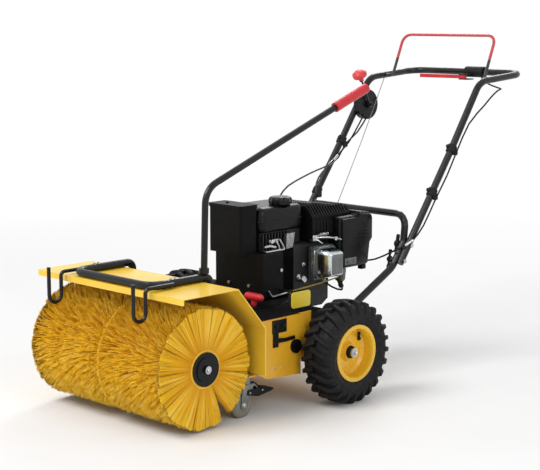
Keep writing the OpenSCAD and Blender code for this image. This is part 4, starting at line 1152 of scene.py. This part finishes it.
# Cable ends: an adjuster on the near cable and sleeves on the far ones
ADJUSTER = [
    (0, 0), (0, 4.2), (4, 4.6), (5, 5.8), (10, 5.8), (11, 4.6), (26, 4.6), (27, 5.8), (31, 5.8),
    (32, 4.2), (36, 3.6), (36, 0),
]
SLEEVE = [(0, 0), (0, 3.8), (5, 4.6), (34, 4.6), (40, 3.8), (40, 0)]
s = Shape()
s.lathe((263, 434, 439.4), (0.37, 0.78, 0.5), ADJUSTER, 18)
s.lathe((-205, 560, 672), (-0.27, 0.9, 0.33), SLEEVE, 16)
s.lathe((-190, 570, 690), (-0.27, 0.87, 0.4), SLEEVE, 16)
s.piece("cable_sleeves", zinc, "machine", "zinc_steel")

# Casters: a black brake pedal with its arm and cheeks, rivets and axle nuts
PEDAL_ARM = [(-316, 97.5), (-316, 104), (-308, 104), (-291, 88), (-293, 83.6), (-309, 98)]
PEDAL = [
    (-325, 66), (-325, 79), (-290, 82.5), (-272, 83), (-238, 75), (-228, 69.5), (-241, 64),
    (-285, 58), (-302, 58),
]
PEDAL_CHEEK = [(-350, 70), (-346, 86), (-300, 85), (-262, 80), (-262, 66), (-300, 58)]
RIVET = [(0, 0), (0, 3.6), (1.4, 3.0), (2.2, 0)]
for side_name, side in SIDES:
    x = side * CASTER_X
    s = Shape()
    s.prism_x(x - 13.4, x + 13.4, PEDAL_ARM, 1.6, 2)
    s.prism_x(x - 16.5, x + 16.5, PEDAL, 1.8, 2)
    for end in (-1, 1):
        s.prism_x(x + end * 16, x + end * 19, PEDAL_CHEEK, 1.2, 2)
    s.piece("caster_pedal_" + side_name, soft_black, "caster_" + side_name, "black_plastic")
    s = Shape()
    for end in (-1, 1):
        s.bolt((x + end * 17, -360, 40), (end, 0, 0), 5.5, 4)
        for y in (-336, -282):
            s.lathe((x + end * 18.6, y, 75), (end, 0, 0), RIVET, 14)
    s.piece("caster_nuts_" + side_name, zinc, "caster_" + side_name, "zinc_steel")


# Camera, floor and light, in metres

LENS = 93.0
SENSOR = 36.0
VIEW_END = 200.0
CAMERA_PLACE = Vector((3.237, -3.45275, 1.221))
# From what the camera looks at, back to the camera
CAMERA_BACK = Vector((0.6924, -0.7044, 0.1561))
FLOOR_R = 60.0
FLOOR_SIDES = 48
# The floor turns from a lit surface that takes shadows into plain white between these distances
FLOOR_FADE = (1.2, 4.0)
FLOOR_ROUGHNESS = 0.9
FLOOR_PALE = srgb(240, 240, 240)
FLOOR_SHADE = srgb(237, 237, 237)
# Strength of the world as a light, and as the background that is seen
SOFT_LIGHT = 0.5
WHITE_GROUND = 1.0


def aimed(name, data, place, direction):
    """A camera or lamp at a place, turned in a direction."""
    obj = bpy.data.objects.new(name, data)
    obj.location = place
    obj.rotation_mode = "QUATERNION"
    obj.rotation_quaternion = direction.to_track_quat("-Z", "Y")
    scene.collection.objects.link(obj)
    return obj


def look(place, back):
    """The camera at the photograph's viewing angle."""
    camera = bpy.data.cameras.new("camera")
    camera.lens = LENS
    camera.sensor_width = SENSOR
    camera.clip_end = VIEW_END
    scene.camera = aimed("camera", camera, place, -back)


def floor():
    """A plain pale floor that keeps the object's shadow and fades to white."""
    verts = [Vector((FLOOR_R * math.cos(a), FLOOR_R * math.sin(a), 0.0))
             for a in turns(FLOOR_SIDES)]
    mesh = mesh_from("floor", verts, [tuple(range(FLOOR_SIDES))])
    p = Paint("floor")
    p.bsdf.inputs["Roughness"].default_value = FLOOR_ROUGHNESS
    p.colour(p.drift(FLOOR_PALE, FLOOR_SHADE, scale=3.0, detail=4.0, band=(0.3, 0.7)))
    glow = p.add("ShaderNodeEmission")
    shade = p.add("ShaderNodeMixShader")
    distance = p.add("ShaderNodeVectorMath")
    distance.operation = "LENGTH"
    p.link(p.coords, distance.inputs[0])
    p.link(p.remap(distance.outputs["Value"], *FLOOR_FADE), shade.inputs[0])
    p.link(p.bsdf.outputs[0], shade.inputs[1])
    p.link(glow.outputs[0], shade.inputs[2])
    p.link(shade.outputs[0], p.out.inputs[0])
    mesh.materials.append(p.mat)
    obj = bpy.data.objects.new("floor", mesh)
    scene.collection.objects.link(obj)


def area_light(name, place, target, size, power):
    """A round soft lamp."""
    lamp = bpy.data.lights.new(name, "AREA")
    lamp.shape = "DISK"
    lamp.size = size
    lamp.energy = power
    aimed(name, lamp, place, Vector(target) - Vector(place))


def sky():
    """A soft even light, seen as white by the camera, in reflections and through glass."""
    world = bpy.data.worlds.new("studio")
    world.use_nodes = True
    scene.world = world
    tree = world.node_tree
    tree.nodes.clear()
    out = tree.nodes.new("ShaderNodeOutputWorld")
    path = tree.nodes.new("ShaderNodeLightPath")
    seen = path.outputs["Is Camera Ray"]
    for ray in ("Is Glossy Ray", "Is Transmission Ray"):
        either = tree.nodes.new("ShaderNodeMath")
        either.operation = "MAXIMUM"
        tree.links.new(seen, either.inputs[0])
        tree.links.new(path.outputs[ray], either.inputs[1])
        seen = either.outputs[0]
    mix = tree.nodes.new("ShaderNodeMixShader")
    tree.links.new(seen, mix.inputs[0])
    for socket, strength in ((mix.inputs[1], SOFT_LIGHT), (mix.inputs[2], WHITE_GROUND)):
        ground = tree.nodes.new("ShaderNodeBackground")
        ground.inputs["Color"].default_value = (1, 1, 1, 1)
        ground.inputs["Strength"].default_value = strength
        tree.links.new(ground.outputs[0], socket)
    tree.links.new(mix.outputs[0], out.inputs[0])


look(CAMERA_PLACE, CAMERA_BACK)
floor()
area_light("key", place=(-0.6, -3.6, 4.2), target=(0, -0.2, 0.4), size=2.6, power=165)
area_light("fill", place=(4.2, -1.2, 2.4), target=(0, 0, 0.4), size=2.4, power=46)
area_light("back", place=(-2.2, 3.4, 3.4), target=(0, 0.2, 0.6), size=2.4, power=70)
sky()
